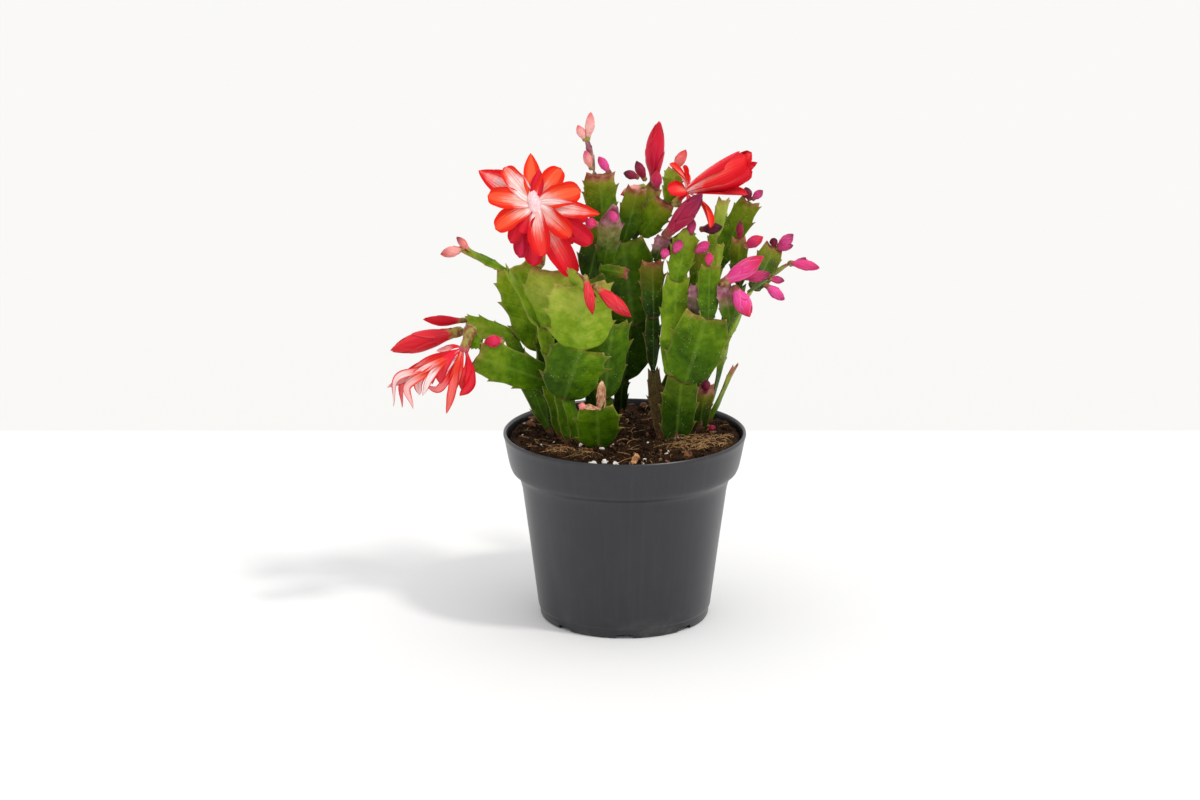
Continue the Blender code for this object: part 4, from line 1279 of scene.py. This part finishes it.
def make_ribbons(flower, ribbons, blanks, rng):
    """The limp petals of a fading flower, each along its own curve."""
    parts = []
    for number, ribbon in enumerate(ribbons):

        def across_at(direction, share, turns=ribbon.turns):
            across = direction.cross(Vector((0.0, 1.0, 0.0))).normalized()
            return Matrix.Rotation(math.radians(turns[0] + (turns[1] - turns[0]) * share),
                3, direction) @ across

        kind = "broad" if ribbon.width > 5.5 else "narrow"
        parts.append(lay_petal(f"{flower.name}_ribbon_{number}", blanks[kind], through(ribbon.points),
            across_at,
                               ribbon.width * MM / 2, (0.0, ribbon.hue, ribbon.pale),
                                   rng, 0.45, 0.0, 0.35, 0.22))
    return finished(joined(f"{flower.name}_petals_set", parts),
        PETAL_SKIN, "petal_red", f"{flower.name}_petals",
                    angle=60)


def make_tube(flower, bloom, places, hue, base=None, green=0.6):
    """The flower's tube, from its ovary to the throat; green is how far its olive foot reaches."""
    bend = mm(flower.bend)
    base = base or places[flower.grows_on].start(flower.fork, bend, flower.tube_radius * MM)
    path = bent(base - (bend - base).normalized() * 2.0 * MM, bend, bloom.throat)
    outline = ((0.0, 0.6), (0.08, 1.0), (0.2, 1.25), (0.34, 1.1), (0.5, 0.86), (0.8, 0.9), (1.0, 0.9))
    tube = rod(f"{flower.name}_tube_skin", path, outline, flower.tube_radius * MM, 18, 22, (0.5, hue, hue))
    for item in tube.data.attributes["petal"].data:
        along, across, fleck = item.vector
        item.vector = (along * (1 - green), across, fleck)
    finished(tube, BUD_SKIN, "flower_tube", f"{flower.name}_tube", angle=60)


STAMEN_RADIUS = 0.16


def make_stamens(flower, bloom, count, reach, spread, seed):
    """Pale threads with pollen tips, from the throat."""
    rng = random.Random(seed)
    threads, tips = [], []
    let_go()
    bpy.ops.mesh.primitive_ico_sphere_add(subdivisions=1, radius=1.0)
    blank = name_it("pollen_blank")
    for number in range(count):
        turn = rng.uniform(0, math.tau)
        out = bloom.outwards(turn)
        length = reach * rng.uniform(0.7, 1.0) * MM
        start = bloom.throat + out * rng.uniform(0.3, 1.3) * MM - bloom.axis * 1.5 * MM
        end = start + bloom.axis * length + out * spread * length * rng.uniform(0.2, 1.0)
        end -= Vector((0, 0, 0.06 * length))
        path = bent(start, start + bloom.axis * length * 0.6, end)
        threads.append(rod(f"thread_{number}", path, ((0, 1.0), (1, 0.7)), STAMEN_RADIUS * MM, 5, 8,
                           (0.9, 0.06 + 0.1 * rng.random(), 0.5), seed=number))

        def move(point, end=end, direction=path(1.0)[1]):
            return end + point * 0.36 * MM + direction * (point.dot(direction) * 0.35 * MM)

        tips.append(copied(f"pollen_{number}", blank, move))
    drop(blank)
    finished(joined(f"{flower.name}_stamens", threads), STAMEN, "petal_red", angle=60)
    finished(joined(f"{flower.name}_pollen", tips), POLLEN, "petal_red", angle=60)


COLUMN_LEVELS = 30


def make_stamen_mass(flower, bloom):
    """The pale column of packed stamens in front of the throat, leaning to the upper left."""
    lean = math.radians(14)
    long_way = bloom.up * math.cos(lean) - bloom.right * math.sin(lean)
    short_way = bloom.axis.cross(long_way)
    centre = bloom.throat + bloom.axis * 1.8 * MM + long_way * 1.8 * MM

    def place(level, angle):
        share = level / COLUMN_LEVELS
        size = math.sin(math.pi * share) ** 0.6 if level not in (0, COLUMN_LEVELS) else 0.0
        y = -math.cos(math.pi * share)
        spot = Vector((math.cos(angle) * size, math.sin(angle) * size, y))
        bumpy = 1 + 0.24 * noise.noise(spot * 2.4) + 0.10 * noise.noise(spot * 9.0)
        across = (3.1 - 0.7 * y) * MM * spot.x * bumpy
        forward = bloom.axis * (2.6 * MM * spot.y * bumpy)
        return centre + short_way * across + forward + long_way * (7.2 * MM * y), {}

    finished(shaped(f"{flower.name}_column", 28, COLUMN_LEVELS, place), STAMEN, "petal_red", angle=60)


def make_dried_bloom(blanks, rng):
    """Papery remains of a flower: a shrivelled tube that stands on the lowest segment,
        and a band beside it."""
    upright = (
        (((-13.5, -33, 122), (-13, -34, 127), (-12.5, -34, 132), (-12, -33, 138.5)), 5.0, 0),
        (((-15, -32.5, 123), (-14.5, -33.5, 127), (-14, -34, 131), (-14.5, -33, 135)), 3.4, 55),
        (((-11, -33, 123), (-10.5, -34.5, 127), (-11, -35, 130), (-11.5, -34, 134)), 3.0, -50),
        (((-13, -34, 124), (-16, -35, 123.8), (-19, -35, 124), (-22, -35, 124.5)), 3.4, 40),
    )
    parts = []
    for number, (points, width, turn) in enumerate(upright):

        def across_at(direction, share, turn=turn):
            flat = Matrix.Rotation(math.radians(turn),
                3, direction) @ direction.cross(Vector((0.0, 1.0, 0.0)))
            return flat.normalized()

        parts.append(lay_petal(f"dried_{number}", blanks["broad"], through(points), across_at,
                               width * MM / 2, (0.5, 0.5, 0.5), rng, 0.9, 0.0, 0.35, 0.12))
    finished(joined("dried_bloom", parts), DRY_PAPER, "petal_red", angle=60)


# ---------------------------------------------------------------------------------------------
# Making it all

POT_PLASTIC = pot_plastic()
COMPOST_EARTH = compost_earth()
CACTUS_SKIN = cactus_skin()
PETAL_SKIN = petal_skin()
BUD_SKIN = bud_skin()
PALE_PEAT = speckled("pale_peat", "4f3420", "94704c", 700, 0.85)
PERLITE = speckled("perlite_grain", "c9c4ba", "f4f1ea", 1400, 0.75, 0.0004)
BARK = speckled("bark_chip", "3a2114", "8a5733", 420, 0.75)
FIBRE = speckled("peat_fibre", "6a4a2c", "b48c5c", 900, 0.8, 0.0003)
STAMEN = speckled("stamen_thread", "efbcc4", "f9dcdc", 900, 0.45, 0.0001)
POLLEN = speckled("pollen_grain", "efc9a8", "f8e6cc", 1600, 0.7, 0.0001)
DRY_PAPER = speckled("dry_paper", "9a6040", "e6bd98", 500, 0.8, 0.0004)
PALE_BARK = speckled("pale_bark", "a8683c", "e2b080", 500, 0.75)

make_pot()
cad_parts["potting_compost"].data.materials.clear()
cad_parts["potting_compost"].data.materials.append(COMPOST_EARTH)
make_ground()

blanks = {kind: [make_segment_blank(kind, number) for number in range(3)] for kind in SEGMENT_OUTLINES}
places = {}
chance = random.Random(7)
for stem in STEMS:
    make_stem(stem, blanks, places, chance)
for name, foot, segment in SPRIGS:
    base, tip = mm(foot), mm(segment.tip)
    place = Place(base, (tip - base).length, (tip - base).normalized(), Vector(), segment.width * MM / 2)
    finished(lay_segment(f"young_segment_{name}", blanks[segment.kind][0], base, segment, chance, place),
        CACTUS_SKIN,
             "stem_green", angle=50)
drop(*[blank for kind in blanks.values() for blank in kind])

bud_blank = make_bud_blank()
for bud in BUDS:
    tip = mm(bud.tip)
    base = places[bud.grows_on].start(bud.fork, tip, bud.radius * 0.56 * MM)
    direction = (tip - base).normalized()
    piece = lay_bud(f"{bud.name}_folded", bud_blank, base - direction * (1.4 + 0.35 * bud.radius) * MM,
        tip, bud.radius * MM, bud.hue,
                    bud.end, chance.uniform(0, 6), chance.uniform(-0.08, 0.08))
    finished(piece, BUD_SKIN, "bud_pink", bud.name, angle=50)
for bud in YOUNG_BUDS:
    piece = lay_bud(f"young_bud_{bud.name}", bud_blank, mm(bud.foot), mm(bud.tip),
        bud.radius * MM, bud.hue, bud.end,
                    chance.uniform(0, 6), chance.uniform(-0.08, 0.08))
    finished(piece, BUD_SKIN, "bud_pink", angle=50)
drop(bud_blank)

petal_blanks = {kind: make_petal_blank(kind) for kind in PETAL_OUTLINES}
make_tube(LEFT_FLOWER, bloom_of(LEFT_FLOWER), places, 0.50, mm((-81, -18, 163)), 0.78)
make_ribbons(LEFT_FLOWER, LEFT_RIBBONS, petal_blanks, chance)
for flower, hue, cup in ((OPEN_FLOWER, 0.2, 0.34), (RIGHT_FLOWER, 0.40, 0.42)):
    bloom = bloom_of(flower)
    make_tube(flower, bloom, places, hue)
    for number, (whorl, petals) in enumerate(reversed(flower.whorls)):
        make_petals(flower, bloom, whorl, petals, 1.5 + 3.3 * number, petal_blanks, chance, cup)
make_stamen_mass(OPEN_FLOWER, bloom_of(OPEN_FLOWER))
make_stamens(LEFT_FLOWER, bloom_of(LEFT_FLOWER), 12, 20.0, 0.16, 22)
make_dried_bloom(petal_blanks, chance)
drop(*petal_blanks.values())

# ---------------------------------------------------------------------------------------------
# The studio

FLOOR_EDGE = 0.352


def floor_paint():
    paint = Finish("studio_floor")
    far = paint.rise(paint.split(paint.place)[1], FLOOR_EDGE, FLOOR_EDGE + 0.004)
    return paint.set(Base_Color=paint.blend(far, (0.84, 0.84, 0.84), (0.735, 0.733, 0.722)), Roughness=0.9,
                     Specular_IOR_Level=0.1)


let_go()
bpy.ops.mesh.primitive_plane_add(size=14.0, location=(0, 0, -0.0002))
floor = name_it("studio_floor")
bpy.ops.object.transform_apply(location=True, rotation=True, scale=True)
floor.data.materials.append(floor_paint())

world = bpy.data.worlds.new("studio_sky")
bpy.context.scene.world = world
world.use_nodes = True
world.node_tree.nodes["Background"].inputs["Color"].default_value = (1.0, 1.0, 1.0, 1.0)
world.node_tree.nodes["Background"].inputs["Strength"].default_value = 1.0


SUN_PLACE = Vector((0.60, -0.40, 1.0))
SUN_ENERGY = 1.15
SUN_ANGLE = math.radians(7)
CAMERA_PLACE = mm((-13.2, -1706, 592))
CAMERA_AIM = mm((-13.2, 0, 118.7))
CAMERA_LENS = 99.54


def looking(name, data, place, aim):
    """A light or camera put at a place and turned to its aim."""
    holder = bpy.data.objects.new(name, data)
    holder.location = place
    holder.rotation_euler = (aim - place).to_track_quat("-Z", "Y").to_euler()
    bpy.context.scene.collection.objects.link(holder)
    return holder


sun = bpy.data.lights.new("key_light", "SUN")
sun.energy, sun.angle, sun.color = SUN_ENERGY, SUN_ANGLE, (1.0, 0.985, 0.96)
looking("key_light", sun, SUN_PLACE, Vector())

camera = bpy.data.cameras.new("studio_camera")
camera.lens, camera.sensor_width = CAMERA_LENS, 36
bpy.context.scene.camera = looking("studio_camera", camera, CAMERA_PLACE, CAMERA_AIM)
bpy.context.scene.view_settings.view_transform = "Standard"
